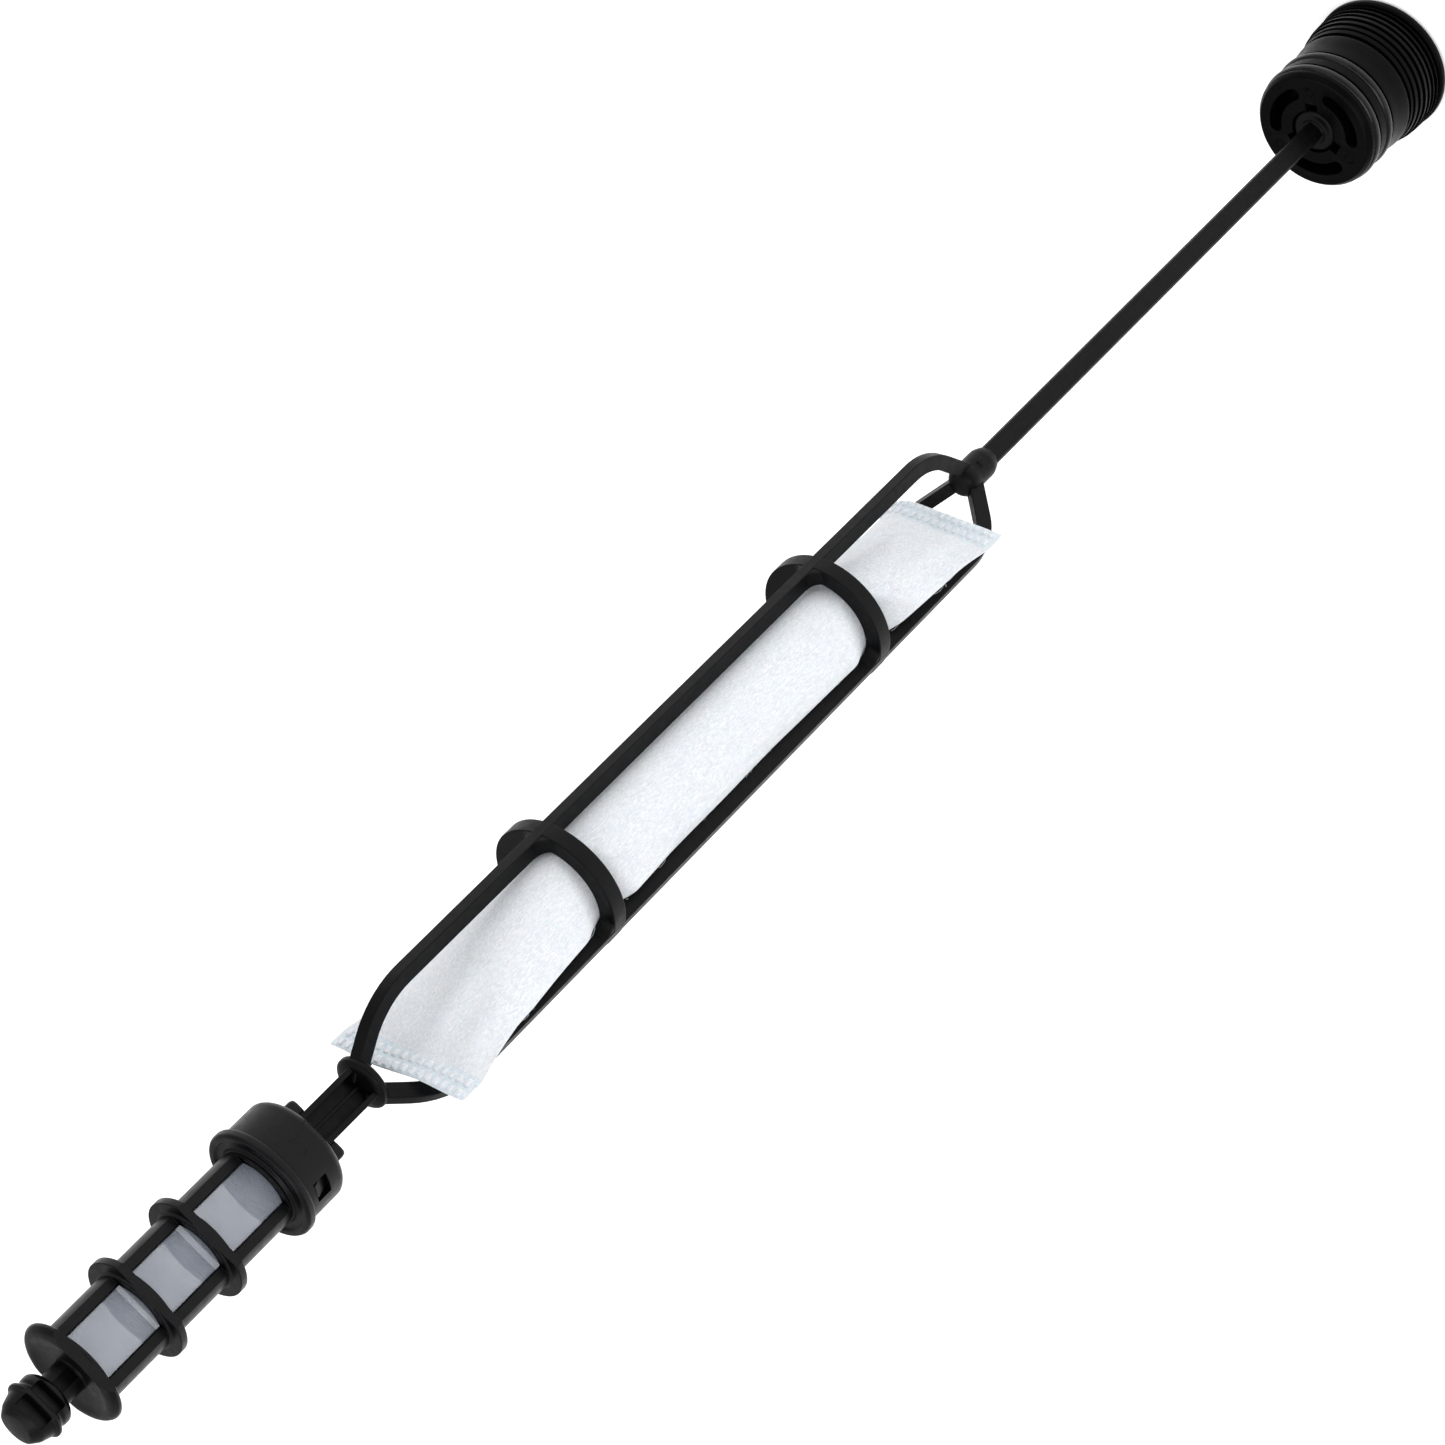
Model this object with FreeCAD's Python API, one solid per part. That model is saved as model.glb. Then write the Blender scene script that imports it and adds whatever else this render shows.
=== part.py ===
import FreeCAD, Part
import math
import os

# Receiver-drier cartridge: threaded end plug, rod, ribbed carrier round a desiccant bag, caged filter.
# Millimetres. The origin is the centre of the plug's outer end face, and +Z runs along the cartridge
# from the plug to the guide nose. A "station" is a height on that axis.

# End plug
PLUG_LENGTH = 29.5
RIM_R, RIM_HEIGHT, RIM_CHAMFER = 15.3, 2.1, 0.6
THREAD_R, THREAD_PITCH, THREAD_TURNS, THREAD_DEPTH = 15.0, 1.5, 7, 0.85
THREAD_START, LEAD_IN_TURNS, LEAD_IN_DROP = 3.75, 4, 0.9
RELIEF_R, WAIST_R, LAND_R = 13.9, 13.95, 13.6
WAIST_STATIONS = (13.6, 17.5)
FACE_CHAMFER = 1.0
GROOVE_STATIONS, GROOVE_WIDTH, GROOVE_R = (21.3, 26.3), 2.7, 11.65
ORING_SECTION_R, ORING_CENTRE_R = 1.15, 12.85
SOCKET_ACROSS_FLATS, SOCKET_DEPTH = 12.0, 9.0
POCKET_R, POCKET_DEPTH, POCKET_SPAN, POCKET_TURN = (7.8, 10.3), 7.0, 66.0, 11.0
NOTCH_R, NOTCH_WIDTH, NOTCH_DEPTH = 6.5, 2.6, 2.6
DIMPLE_R, DIMPLE_SIZE, DIMPLE_DEPTH = 9.6, 1.1, 0.35

# Snap joint between the plug's hub and the rod: collar, neck through the lip, barbed head
LIP_STATIONS, LIP_R, CHAMBER_R, CHAMBER_FLOOR, MOUTH_R = (25.0, 27.3), 2.55, 3.7, 19.0, 4.95
COLLAR_R, COLLAR_STATIONS, NECK_R = 4.65, (27.4, 29.2), 2.5
HEAD_R, HEAD_STATIONS, HEAD_SLOT = 3.3, (20.2, 24.9), 1.2

# Rod and carrier
ROD_WIDTH, ROD_CHAMFER, ROD_END = 4.0, 0.7, 152.8
UPPER_HUB_R, UPPER_HUB_BALL_R, UPPER_HUB_END = 3.1, 3.4, 163.2
RIB_ANGLES = {"rib_a": -46.0, "rib_b": 74.0, "rib_c": 194.0}
CARRIER_R, RIB_DEPTH, RIB_WIDTH = 13.0, 3.0, 2.4
UPPER_RIB_STATION, LOWER_RIB_STATION = 157.5, 338.2
RIB_ROOT_R, UPPER_BEND_R, LOWER_BEND_R = 2.0, 14.0, 16.0
HOOP_STATIONS = {"hoop_upper": 205.3, "hoop_lower": 284.6}
HOOP_INNER_R, HOOP_WIDTH = 9.6, 3.3
LOWER_HUB_R, LOWER_HUB_STATIONS = 5.2, (335.8, 338.4)
STEM_WIDTH, STEM_DEPTH, STEM_END = 6.8, 6.0, 350.4
CHANNEL_HALF_WIDTH, WEB_HALF, SPLINE_HALF, SPLINE_HEIGHT = 2.35, 0.6, 0.25, 1.4

# Desiccant bag: (station, half width, half thickness, sideways shift) of its oval sections
BAG_TURN, BAG_WALL, CHARGE_GAP = 44.0, 0.4, 0.05
BAG_SECTIONS = (
    (167.0, 12.5, 0.5, -1.5), (171.6, 12.5, 0.7, -1.5), (178.0, 11.5, 4.0, -0.8),
    (188.0, 10.0, 7.4, -0.1), (198.0, 9.4, 9.2, 0.0), (300.0, 9.4, 9.2, 0.0),
    (311.0, 10.1, 7.0, -0.2), (321.0, 12.7, 3.3, -1.1), (327.4, 15.0, 0.7, -2.4),
    (332.2, 15.0, 0.5, -2.8),
)
SEALED_ENDS = 2

# Filter
CAP_R, CAP_WALL, CAP_STATIONS, CAP_FACE, CAP_EDGE = 9.9, 1.2, (350.4, 361.2), 352.3, 1.2
CAP_COLLAR_R, CAP_CEILING = 5.6, 353.5
EAR_REACH, EAR_WIDTH, EAR_LOW = 6.3, 3.2, 348.0
LATCH_ANGLES, LATCH_WIDTH, LATCH_STATIONS = (41.0, 221.0), 3.3, (356.5, 359.8)
CAGE_R, CAGE_BORE_R, MESH_R, MESH_WALL = 7.5, 6.15, 6.1, 0.2
SPIGOT_R, SPIGOT_START = 8.6, 353.9
SEAL_FLANGE_R, SEAL_FLANGE_STATIONS = 10.75, (361.2, 363.2)
RING_R, RING_WIDTH = 9.8, 1.5
RING_STATIONS = {"guide_ring_upper": 377.6, "guide_ring_lower": 391.6}
WINDOW_FLAT, WINDOW_STATIONS = 4.0, ((363.8, 376.5), (378.7, 390.5), (392.7, 405.0))
END_FLANGE_STATIONS, END_DISH_R, END_DISH_DEPTH = (405.6, 407.6), 7.6, 0.7
NECK_R_OUT, NECK_SLOT, NECK_SLOT_DEPTH, NECK_END = 3.0, 2.3, 1.5, 410.4
NOSE_R, NOSE_TIP_R, NOSE_DISC_R, NOSE_FLAT, NOSE_END = 4.85, 3.0, 5.4, 4.2, 419.1
NOSE_DISC_STATIONS = (414.2, 415.2)
NOSE_POCKET_WIDTH, NOSE_POCKET_FLOOR = 5.2, 2.2
NOSE_POCKETS = ((411.9, 414.2), (415.2, 417.4))


def turned(outline):
    """A solid of revolution about Z from a closed outline of (radius, station) points."""
    points = [FreeCAD.Vector(r, 0, z) for r, z in outline]
    face = Part.Face(Part.makePolygon(points + points[:1]))
    return face.revolve(FreeCAD.Vector(0, 0, 0), FreeCAD.Vector(0, 0, 1), 360)


def tube(r_in, r_out, low, high):
    return turned([(r_in, low), (r_out, low), (r_out, high), (r_in, high)])


def rod_of(radius, low, high):
    return Part.makeCylinder(radius, high - low, FreeCAD.Vector(0, 0, low))


def block(x, y, z):
    """A box between the two values given for each axis."""
    size = [high - low for low, high in (x, y, z)]
    return Part.makeBox(*size, FreeCAD.Vector(x[0], y[0], z[0]))


def about_axis(shape, degrees):
    copy = shape.copy()
    copy.rotate(FreeCAD.Vector(0, 0, 0), FreeCAD.Vector(0, 0, 1), degrees)
    return copy


def at_angle(radius, degrees, station=0.0):
    angle = math.radians(degrees)
    return FreeCAD.Vector(radius * math.cos(angle), radius * math.sin(angle), station)


def largest_solid(shape):
    return max(shape.Solids, key=lambda solid: solid.Volume)


def save(node, shape):
    os.makedirs("parts", exist_ok=True)
    assert shape.isValid() and shape.Volume > 0, node
    shape.exportStep("parts/%s.step" % node)


# ---- end plug ----

def thread_outline():
    """Rounded-off ridges of the thread, from the rim inward; the first turns to enter are lower."""
    points = []
    for turn in range(THREAD_TURNS):
        middle = THREAD_START + THREAD_PITCH * turn
        turns_from_tip = THREAD_TURNS - 1 - turn
        drop = LEAD_IN_DROP * max(0.0, 1 - turns_from_tip / LEAD_IN_TURNS)
        crest = THREAD_R - drop
        root = crest - THREAD_DEPTH
        points += [(root, middle - 0.62), (crest, middle - 0.12), (crest, middle + 0.12),
                   (root, middle + 0.62)]
    return points


def groove_outline():
    points = []
    for station in GROOVE_STATIONS:
        low, high = station - GROOVE_WIDTH / 2, station + GROOVE_WIDTH / 2
        points += [(LAND_R, low), (GROOVE_R, low), (GROOVE_R, high), (LAND_R, high)]
    return points


def hub_bore():
    """Bore of the hub: wide mouth for the rod's collar, a lip, and a chamber for its barbed head."""
    return (rod_of(CHAMBER_R, CHAMBER_FLOOR, LIP_STATIONS[0])
            .fuse(rod_of(LIP_R, LIP_STATIONS[0], LIP_STATIONS[1]))
            .fuse(rod_of(MOUTH_R, LIP_STATIONS[1], PLUG_LENGTH)))


def hex_socket():
    corner = SOCKET_ACROSS_FLATS / math.sqrt(3)
    corners = [at_angle(corner, 60 * side) for side in range(7)]
    return Part.Face(Part.makePolygon(corners)).extrude(FreeCAD.Vector(0, 0, SOCKET_DEPTH))


def kidney_pocket(turn):
    """Arc-shaped core-out in the inner face, rounded at both ends."""
    r_in, r_out = POCKET_R
    middle, end_r = (r_in + r_out) / 2, (r_out - r_in) / 2
    floor = PLUG_LENGTH - POCKET_DEPTH
    sweep = Part.makeCylinder(r_out, POCKET_DEPTH, FreeCAD.Vector(0, 0, floor),
                              FreeCAD.Vector(0, 0, 1), POCKET_SPAN)
    pocket = sweep.cut(Part.makeCylinder(r_in, POCKET_DEPTH, FreeCAD.Vector(0, 0, floor)))
    for end in (0, POCKET_SPAN):
        pocket = pocket.fuse(Part.makeCylinder(end_r, POCKET_DEPTH, at_angle(middle, end, floor)))
    return about_axis(pocket, turn - POCKET_SPAN / 2)


def plug_body():
    outline = [(0, 0), (RIM_R - RIM_CHAMFER, 0), (RIM_R, RIM_CHAMFER), (RIM_R, RIM_HEIGHT),
               (RELIEF_R, RIM_HEIGHT + 0.3)]
    outline += thread_outline()
    outline += [(WAIST_R, WAIST_STATIONS[0]), (LAND_R, WAIST_STATIONS[1])]
    outline += groove_outline()
    outline += [(LAND_R, PLUG_LENGTH - FACE_CHAMFER), (LAND_R - FACE_CHAMFER, PLUG_LENGTH),
                (0, PLUG_LENGTH)]
    body = turned(outline).cut(hub_bore()).cut(hex_socket())
    for turn in (0, 120, 240):
        body = body.cut(kidney_pocket(turn + POCKET_TURN))
        notch = block((0, NOTCH_R), (-NOTCH_WIDTH / 2, NOTCH_WIDTH / 2),
                      (PLUG_LENGTH - NOTCH_DEPTH, PLUG_LENGTH))
        ring_only = notch.cut(rod_of(MOUTH_R - 0.1, 0, PLUG_LENGTH))
        body = body.cut(about_axis(ring_only, turn + POCKET_TURN + 60))
        dimple = Part.makeCylinder(DIMPLE_SIZE, DIMPLE_DEPTH,
                                   at_angle(DIMPLE_R, turn + POCKET_TURN + 60, PLUG_LENGTH - DIMPLE_DEPTH))
        body = body.cut(dimple)
    return body


def o_ring(station):
    return Part.makeTorus(ORING_CENTRE_R, ORING_SECTION_R, FreeCAD.Vector(0, 0, station))


# ---- rod and carrier ----

def chamfered_bar(width, chamfer, low, high):
    half, inner = width / 2, width / 2 - chamfer
    corners = []
    for quarter in range(4):
        for x, y in ((half, -inner), (half, inner)):
            turn = math.radians(90 * quarter)
            corners.append(FreeCAD.Vector(x * math.cos(turn) - y * math.sin(turn),
                                          x * math.sin(turn) + y * math.cos(turn), low))
    face = Part.Face(Part.makePolygon(corners + corners[:1]))
    return face.extrude(FreeCAD.Vector(0, 0, high - low))


def rod():
    """Square bar, with the collar, neck and slotted barb that snap into the plug's hub."""
    low, high = HEAD_STATIONS
    tail = turned([(0, low), (NECK_R - 0.6, low), (HEAD_R, high - 1.4), (HEAD_R, high), (NECK_R, high),
                   (NECK_R, COLLAR_STATIONS[0]), (COLLAR_R, COLLAR_STATIONS[0]),
                   (COLLAR_R, COLLAR_STATIONS[1] - 0.4), (COLLAR_R - 0.4, COLLAR_STATIONS[1]),
                   (0, COLLAR_STATIONS[1])])
    slot = block((-HEAD_R, HEAD_R), (-HEAD_SLOT / 2, HEAD_SLOT / 2), (low, LIP_STATIONS[1] - 0.5))
    bar = chamfered_bar(ROD_WIDTH, ROD_CHAMFER, COLLAR_STATIONS[1] - 0.5, ROD_END)
    return tail.cut(slot).fuse(bar).removeSplitter()


def upper_hub():
    """Short boss on the rod's end, with a ball behind it where the ribs leave."""
    return turned([(0, ROD_END), (2.4, ROD_END), (UPPER_HUB_R, ROD_END + 1.6),
                   (UPPER_HUB_R, UPPER_HUB_END - 3.6), (UPPER_HUB_BALL_R, UPPER_HUB_END - 2.8),
                   (UPPER_HUB_BALL_R, UPPER_HUB_END - 1.2), (2.2, UPPER_HUB_END), (0, UPPER_HUB_END)])


def lower_hub():
    low, high = LOWER_HUB_STATIONS
    return turned([(0, low), (LOWER_HUB_R - 0.3, low), (LOWER_HUB_R, low + 0.3), (LOWER_HUB_R, high - 1.0),
                   (LOWER_HUB_R - 1.0, high), (0, high)])


def bend_side(offset):
    """Edges of a rib's side, offset from its middle line, and the two end points."""
    upright = CARRIER_R - RIB_DEPTH / 2
    reach = upright - RIB_ROOT_R
    edges, bends, ends = [], [], []
    for root, way, radius in ((UPPER_RIB_STATION, 1, UPPER_BEND_R), (LOWER_RIB_STATION, -1, LOWER_BEND_R)):
        tangent = radius * math.tan(math.radians(22.5))
        centre = (upright - radius, root + way * (reach + tangent))
        arc_r = radius + offset
        points = [(centre[0] + arc_r * math.cos(math.radians(a)),
                   centre[1] - way * arc_r * math.sin(math.radians(a))) for a in (0, 22.5, 45)]
        slant = (points[2][0] - (RIB_ROOT_R + offset * math.cos(math.radians(45))))
        end = (points[2][0] - slant, points[2][1] - way * slant)
        straight, middle, leave = [FreeCAD.Vector(r, 0, z) for r, z in points]
        edges.append(Part.Arc(straight, middle, leave).toShape())
        end_point = FreeCAD.Vector(end[0], 0, end[1])
        edges.append(Part.makeLine(leave, end_point))
        bends.append(straight)
        ends.append(end_point)
    edges.append(Part.makeLine(bends[0], bends[1]))
    return edges, ends


def rib_blank(angle):
    """Flat bar bent at both ends towards the axis, at its place round the carrier."""
    outer, outer_ends = bend_side(RIB_DEPTH / 2)
    inner, inner_ends = bend_side(-RIB_DEPTH / 2)
    closing = [Part.makeLine(a, b) for a, b in zip(outer_ends, inner_ends)]
    wire = Part.Wire(Part.__sortEdges__(outer + inner + closing))
    bar = Part.Face(wire).extrude(FreeCAD.Vector(0, RIB_WIDTH, 0))
    bar.translate(FreeCAD.Vector(0, -RIB_WIDTH / 2, 0))
    return about_axis(bar, angle)


def rib(angle):
    """A rib, ended where it meets the two hubs."""
    above_carrier = rod_of(LOWER_HUB_R, LOWER_HUB_STATIONS[0], STEM_END)
    return largest_solid(rib_blank(angle).cut(upper_hub()).cut(above_carrier))


def hoop(station):
    """Ring round the bag, notched where the ribs lie flush in it."""
    ring = tube(HOOP_INNER_R, CARRIER_R, station - HOOP_WIDTH / 2, station + HOOP_WIDTH / 2)
    for angle in RIB_ANGLES.values():
        ring = ring.cut(rib_blank(angle))
    return ring


def stem():
    """Short double-channel bar between the carrier and the filter, with a thin spline in each channel."""
    low = LOWER_HUB_STATIONS[1]
    half_w, half_d = STEM_WIDTH / 2, STEM_DEPTH / 2
    bar = block((-half_w, half_w), (-half_d, half_d), (low, STEM_END))
    for side in (1, -1):
        y = sorted((side * WEB_HALF, side * half_d))
        bar = bar.cut(block((-CHANNEL_HALF_WIDTH, CHANNEL_HALF_WIDTH), y, (low + 0.8, STEM_END)))
        y = sorted((side * WEB_HALF, side * SPLINE_HEIGHT))
        bar = bar.fuse(block((-SPLINE_HALF, SPLINE_HALF), y, (low, STEM_END)))
    return bar.removeSplitter()


# ---- desiccant bag ----

def oval(station, half_width, half_thickness, shift):
    ellipse = Part.Ellipse(FreeCAD.Vector(0, 0, 0), half_width, half_thickness)
    wire = Part.Wire([ellipse.toShape()])
    wire.translate(FreeCAD.Vector(shift, 0, station))
    wire.rotate(FreeCAD.Vector(0, 0, 0), FreeCAD.Vector(0, 0, 1), BAG_TURN)
    return wire


def bag_form(inset, sections):
    ovals = [oval(z, width - inset, thick - inset, shift) for z, width, thick, shift in sections]
    return Part.makeLoft(ovals, True, True)


def desiccant_bag():
    """Non-woven bag: an oval pouch that flattens to a heat seal at each end, hollow for the beads."""
    filled = BAG_SECTIONS[SEALED_ENDS:-SEALED_ENDS]
    return bag_form(0.0, BAG_SECTIONS).cut(bag_form(BAG_WALL, filled))


def desiccant_charge():
    """The beads, as one packed body that fills the bag."""
    filled = BAG_SECTIONS[SEALED_ENDS:-SEALED_ENDS]
    low, high = filled[0], filled[-1]
    ends = ((low[0] + CHARGE_GAP,) + low[1:],) + filled[1:-1] + ((high[0] - CHARGE_GAP,) + high[1:],)
    return bag_form(BAG_WALL + CHARGE_GAP, ends)


# ---- filter ----

def filter_cap():
    """Shallow cup over the cage's spigot, with a collar and two ears that hold the stem."""
    low, high = CAP_STATIONS
    inner_r = CAP_R - CAP_WALL
    cap = turned([(0, low), (CAP_COLLAR_R, low), (CAP_COLLAR_R, CAP_FACE), (CAP_R - CAP_EDGE, CAP_FACE),
                  (CAP_R, CAP_FACE + CAP_EDGE), (CAP_R, high), (inner_r, high), (inner_r, CAP_CEILING),
                  (0, CAP_CEILING)])
    for side in (1, -1):
        x = sorted((side * STEM_WIDTH / 2, side * EAR_REACH))
        cap = cap.fuse(block(x, (-EAR_WIDTH / 2, EAR_WIDTH / 2), (EAR_LOW, CAP_FACE)))
    for angle in LATCH_ANGLES:
        window = block((inner_r - 1, CAP_R + 1), (-LATCH_WIDTH / 2, LATCH_WIDTH / 2), LATCH_STATIONS)
        cap = cap.cut(about_axis(window, angle))
    return cap.removeSplitter()


def latch_barb(angle):
    """Ramp on the spigot that springs out into the cap's window."""
    low, high = LATCH_STATIONS
    outline = [(SPIGOT_R - 0.5, low + 0.3), (SPIGOT_R + 0.2, low + 0.3), (SPIGOT_R + 1.0, high - 0.4),
               (SPIGOT_R - 0.5, high - 0.4)]
    points = [FreeCAD.Vector(r, 0, z) for r, z in outline]
    ramp = Part.Face(Part.makePolygon(points + points[:1]))
    width = LATCH_WIDTH - 1.2
    ramp = ramp.extrude(FreeCAD.Vector(0, width, 0))
    ramp.translate(FreeCAD.Vector(0, -width / 2, 0))
    return about_axis(ramp, angle)


def filter_cage():
    """Barrel cut flat at three windows on each of two sides, and the spigot that the cap snaps onto."""
    spigot = tube(CAGE_BORE_R, SPIGOT_R, SPIGOT_START, SEAL_FLANGE_STATIONS[0])
    barrel = tube(CAGE_BORE_R, CAGE_R, SEAL_FLANGE_STATIONS[0], END_FLANGE_STATIONS[0])
    cage = spigot.fuse(barrel)
    for stations in WINDOW_STATIONS:
        for side in (1, -1):
            y = sorted((side * WINDOW_FLAT, side * (CAGE_R + 1)))
            cage = cage.cut(block((-CAGE_R, CAGE_R), y, stations))
    for angle in LATCH_ANGLES:
        cage = cage.fuse(latch_barb(angle))
    return cage.removeSplitter()


def seal_flange():
    """Lipped flange that seals against the receiver's bore."""
    low, high = SEAL_FLANGE_STATIONS
    return turned([(CAGE_R, low), (SEAL_FLANGE_R - 0.4, low), (SEAL_FLANGE_R, low + 0.4),
                   (SEAL_FLANGE_R, high - 0.5), (SEAL_FLANGE_R - 0.5, high), (9.3, high), (8.9, high - 0.4),
                   (CAGE_R, high - 0.4)])


def guide_ring(station):
    low, high = station - RING_WIDTH / 2, station + RING_WIDTH / 2
    return turned([(CAGE_R, low), (RING_R - 0.15, low), (RING_R, low + 0.15), (RING_R, high - 0.15),
                   (RING_R - 0.15, high), (CAGE_R, high)])


def end_flange():
    """Closed, dished end of the cage."""
    low, high = END_FLANGE_STATIONS
    return turned([(0, low), (RING_R - 0.4, low), (RING_R, low + 0.4), (RING_R, high - 0.5),
                   (RING_R - 0.5, high), (END_DISH_R, high), (NECK_R_OUT + 0.8, high - END_DISH_DEPTH),
                   (0, high - END_DISH_DEPTH)])


def filter_mesh():
    return tube(MESH_R - MESH_WALL, MESH_R, SEAL_FLANGE_STATIONS[0], END_FLANGE_STATIONS[0])


def guide_neck():
    """Short neck behind the nose, slotted on both sides."""
    low = END_FLANGE_STATIONS[1] - END_DISH_DEPTH
    neck = rod_of(NECK_R_OUT, low, NECK_END)
    for side in (1, -1):
        y = sorted((side * NECK_SLOT_DEPTH, side * (NECK_R_OUT + 1)))
        neck = neck.cut(block((-NECK_SLOT / 2, NECK_SLOT / 2), y, (low, NECK_END)))
    return neck


def guide_nose():
    """Blunt snap nose with a rib round its middle, flat on two sides, with two pockets in each flat."""
    disc_low, disc_high = NOSE_DISC_STATIONS
    nose = turned([(0, NECK_END), (NOSE_R - 0.9, NECK_END), (NOSE_R, NECK_END + 1.0),
                   (NOSE_R, disc_low - 0.3), (NOSE_DISC_R, disc_low + 0.2), (NOSE_DISC_R, disc_high - 0.2),
                   (NOSE_R, disc_high + 0.3), (NOSE_R - 0.7, NOSE_END - 1.6), (NOSE_TIP_R, NOSE_END),
                   (0, NOSE_END)])
    nose = nose.common(block((-NOSE_DISC_R, NOSE_DISC_R), (-NOSE_FLAT, NOSE_FLAT), (NECK_END, NOSE_END)))
    for stations in NOSE_POCKETS:
        for side in (1, -1):
            y = sorted((side * NOSE_POCKET_FLOOR, side * NOSE_DISC_R))
            half = NOSE_POCKET_WIDTH / 2
            nose = nose.cut(block((-half, half), y, stations))
    return nose


def main():
    save("plug_body", plug_body())
    for name, station in zip(("oring_outer", "oring_inner"), GROOVE_STATIONS):
        save(name, o_ring(station))
    save("rod", rod())
    save("upper_hub", upper_hub())
    save("lower_hub", lower_hub())
    for name, angle in RIB_ANGLES.items():
        save(name, rib(angle))
    for name, station in HOOP_STATIONS.items():
        save(name, hoop(station))
    save("stem", stem())
    save("desiccant_bag", desiccant_bag())
    save("desiccant_charge", desiccant_charge())
    save("filter_cap", filter_cap())
    save("filter_cage", filter_cage())
    save("seal_flange", seal_flange())
    for name, station in RING_STATIONS.items():
        save(name, guide_ring(station))
    save("end_flange", end_flange())
    save("filter_mesh", filter_mesh())
    save("guide_neck", guide_neck())
    save("guide_nose", guide_nose())


main()
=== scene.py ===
import bpy
import bmesh
import math
from mathutils import Matrix, Vector


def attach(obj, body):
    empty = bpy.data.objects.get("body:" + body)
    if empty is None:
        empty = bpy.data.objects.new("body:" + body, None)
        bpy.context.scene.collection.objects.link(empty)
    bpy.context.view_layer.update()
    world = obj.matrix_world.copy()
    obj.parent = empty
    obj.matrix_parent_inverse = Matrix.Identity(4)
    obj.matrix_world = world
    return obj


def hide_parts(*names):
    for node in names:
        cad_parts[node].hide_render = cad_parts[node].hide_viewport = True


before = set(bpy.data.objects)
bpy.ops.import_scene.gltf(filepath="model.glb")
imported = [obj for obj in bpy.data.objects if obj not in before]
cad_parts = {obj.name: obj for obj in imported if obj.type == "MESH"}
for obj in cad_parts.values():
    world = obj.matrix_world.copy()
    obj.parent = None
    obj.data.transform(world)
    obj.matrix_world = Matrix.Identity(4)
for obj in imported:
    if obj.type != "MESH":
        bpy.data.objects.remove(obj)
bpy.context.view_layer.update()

# Receiver-drier cartridge, upright on its end plug. Lengths below are millimetres until a mesh is made;
# a station is a height on the cartridge's axis, and a polar angle is taken about it from +X.
MM = 0.001

RIB_ANGLES = {"rib_a": -46.0, "rib_b": 74.0, "rib_c": 194.0}
HOOP_STATIONS = {"hoop_upper": 205.3, "hoop_lower": 284.6}
RING_STATIONS = {"guide_ring_upper": 377.6, "guide_ring_lower": 391.6}
GROOVE_STATIONS = {"oring_outer": 21.3, "oring_inner": 26.3}
LATCH_ANGLES = (41.0, 221.0)
RIB_MIDDLE_R = 11.5
HOOP_INNER_R, HOOP_OUTER_R, HOOP_HALF_WIDTH = 9.62, 13.0, 1.65
WINDOWS = ((363.8, 376.5), (378.7, 390.5), (392.7, 405.0))
BARREL_FLAT, RING_FLAT = 4.0, 7.35


# ---- node trees ----

def paint(hex_code):
    """sRGB hex to the linear colour that shaders take."""
    parts = [int(hex_code[i:i + 2], 16) / 255 for i in (1, 3, 5)]
    return tuple(c / 12.92 if c <= 0.04045 else ((c + 0.055) / 1.055) ** 2.4 for c in parts) + (1.0,)


def per_mm(size):
    """Texture scale whose features are about that many millimetres across."""
    return 1 / (size * MM)


def add(tree, kind, inputs=(), **settings):
    """Adds a node; each input is a plain value or another node's output."""
    made = tree.nodes.new(kind)
    for name, value in settings.items():
        setattr(made, name, value)
    for key, value in dict(inputs).items():
        if isinstance(value, bpy.types.NodeSocket):
            tree.links.new(value, made.inputs[key])
        else:
            made.inputs[key].default_value = value
    return made


def new_finish(name, **sockets):
    """A material with its shader's constant sockets set; returns it with its tree and shader."""
    finish = bpy.data.materials.new(name)
    finish.use_nodes = True
    shader = finish.node_tree.nodes["Principled BSDF"]
    for key, value in sockets.items():
        shader.inputs[key.replace("_", " ")].default_value = value
    return finish, finish.node_tree, shader


def cloud(tree, size, detail=3.0, distortion=0.0, stretch=(1, 1, 1)):
    """Noise on Object coordinates, with features of that many millimetres."""
    place = add(tree, "ShaderNodeTexCoord").outputs["Object"]
    placed = add(tree, "ShaderNodeMapping", {"Vector": place, "Scale": stretch}).outputs[0]
    return add(tree, "ShaderNodeTexNoise", {"Vector": placed, "Scale": per_mm(size), "Detail": detail,
                                            "Distortion": distortion}).outputs["Fac"]


def tinted(tree, pattern, low, high, first, second, least=0.0, most=1.0):
    """Two colours laid by a pattern: the second one comes in as the pattern goes from low to high."""
    share = add(tree, "ShaderNodeMapRange", {"Value": pattern, "From Min": low, "From Max": high,
                                             "To Min": least, "To Max": most})
    return add(tree, "ShaderNodeMix", {0: share.outputs[0], 6: first, 7: second}, data_type="RGBA").outputs[2]


def roughened(tree, shader, pattern, smooth, rough):
    """Lets a pattern take the surface from smooth to rough."""
    grades = add(tree, "ShaderNodeMapRange", {"Value": pattern, "From Min": 0.3, "From Max": 0.7,
                                              "To Min": smooth, "To Max": rough})
    tree.links.new(grades.outputs[0], shader.inputs["Roughness"])


# ---- finishes ----

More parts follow.
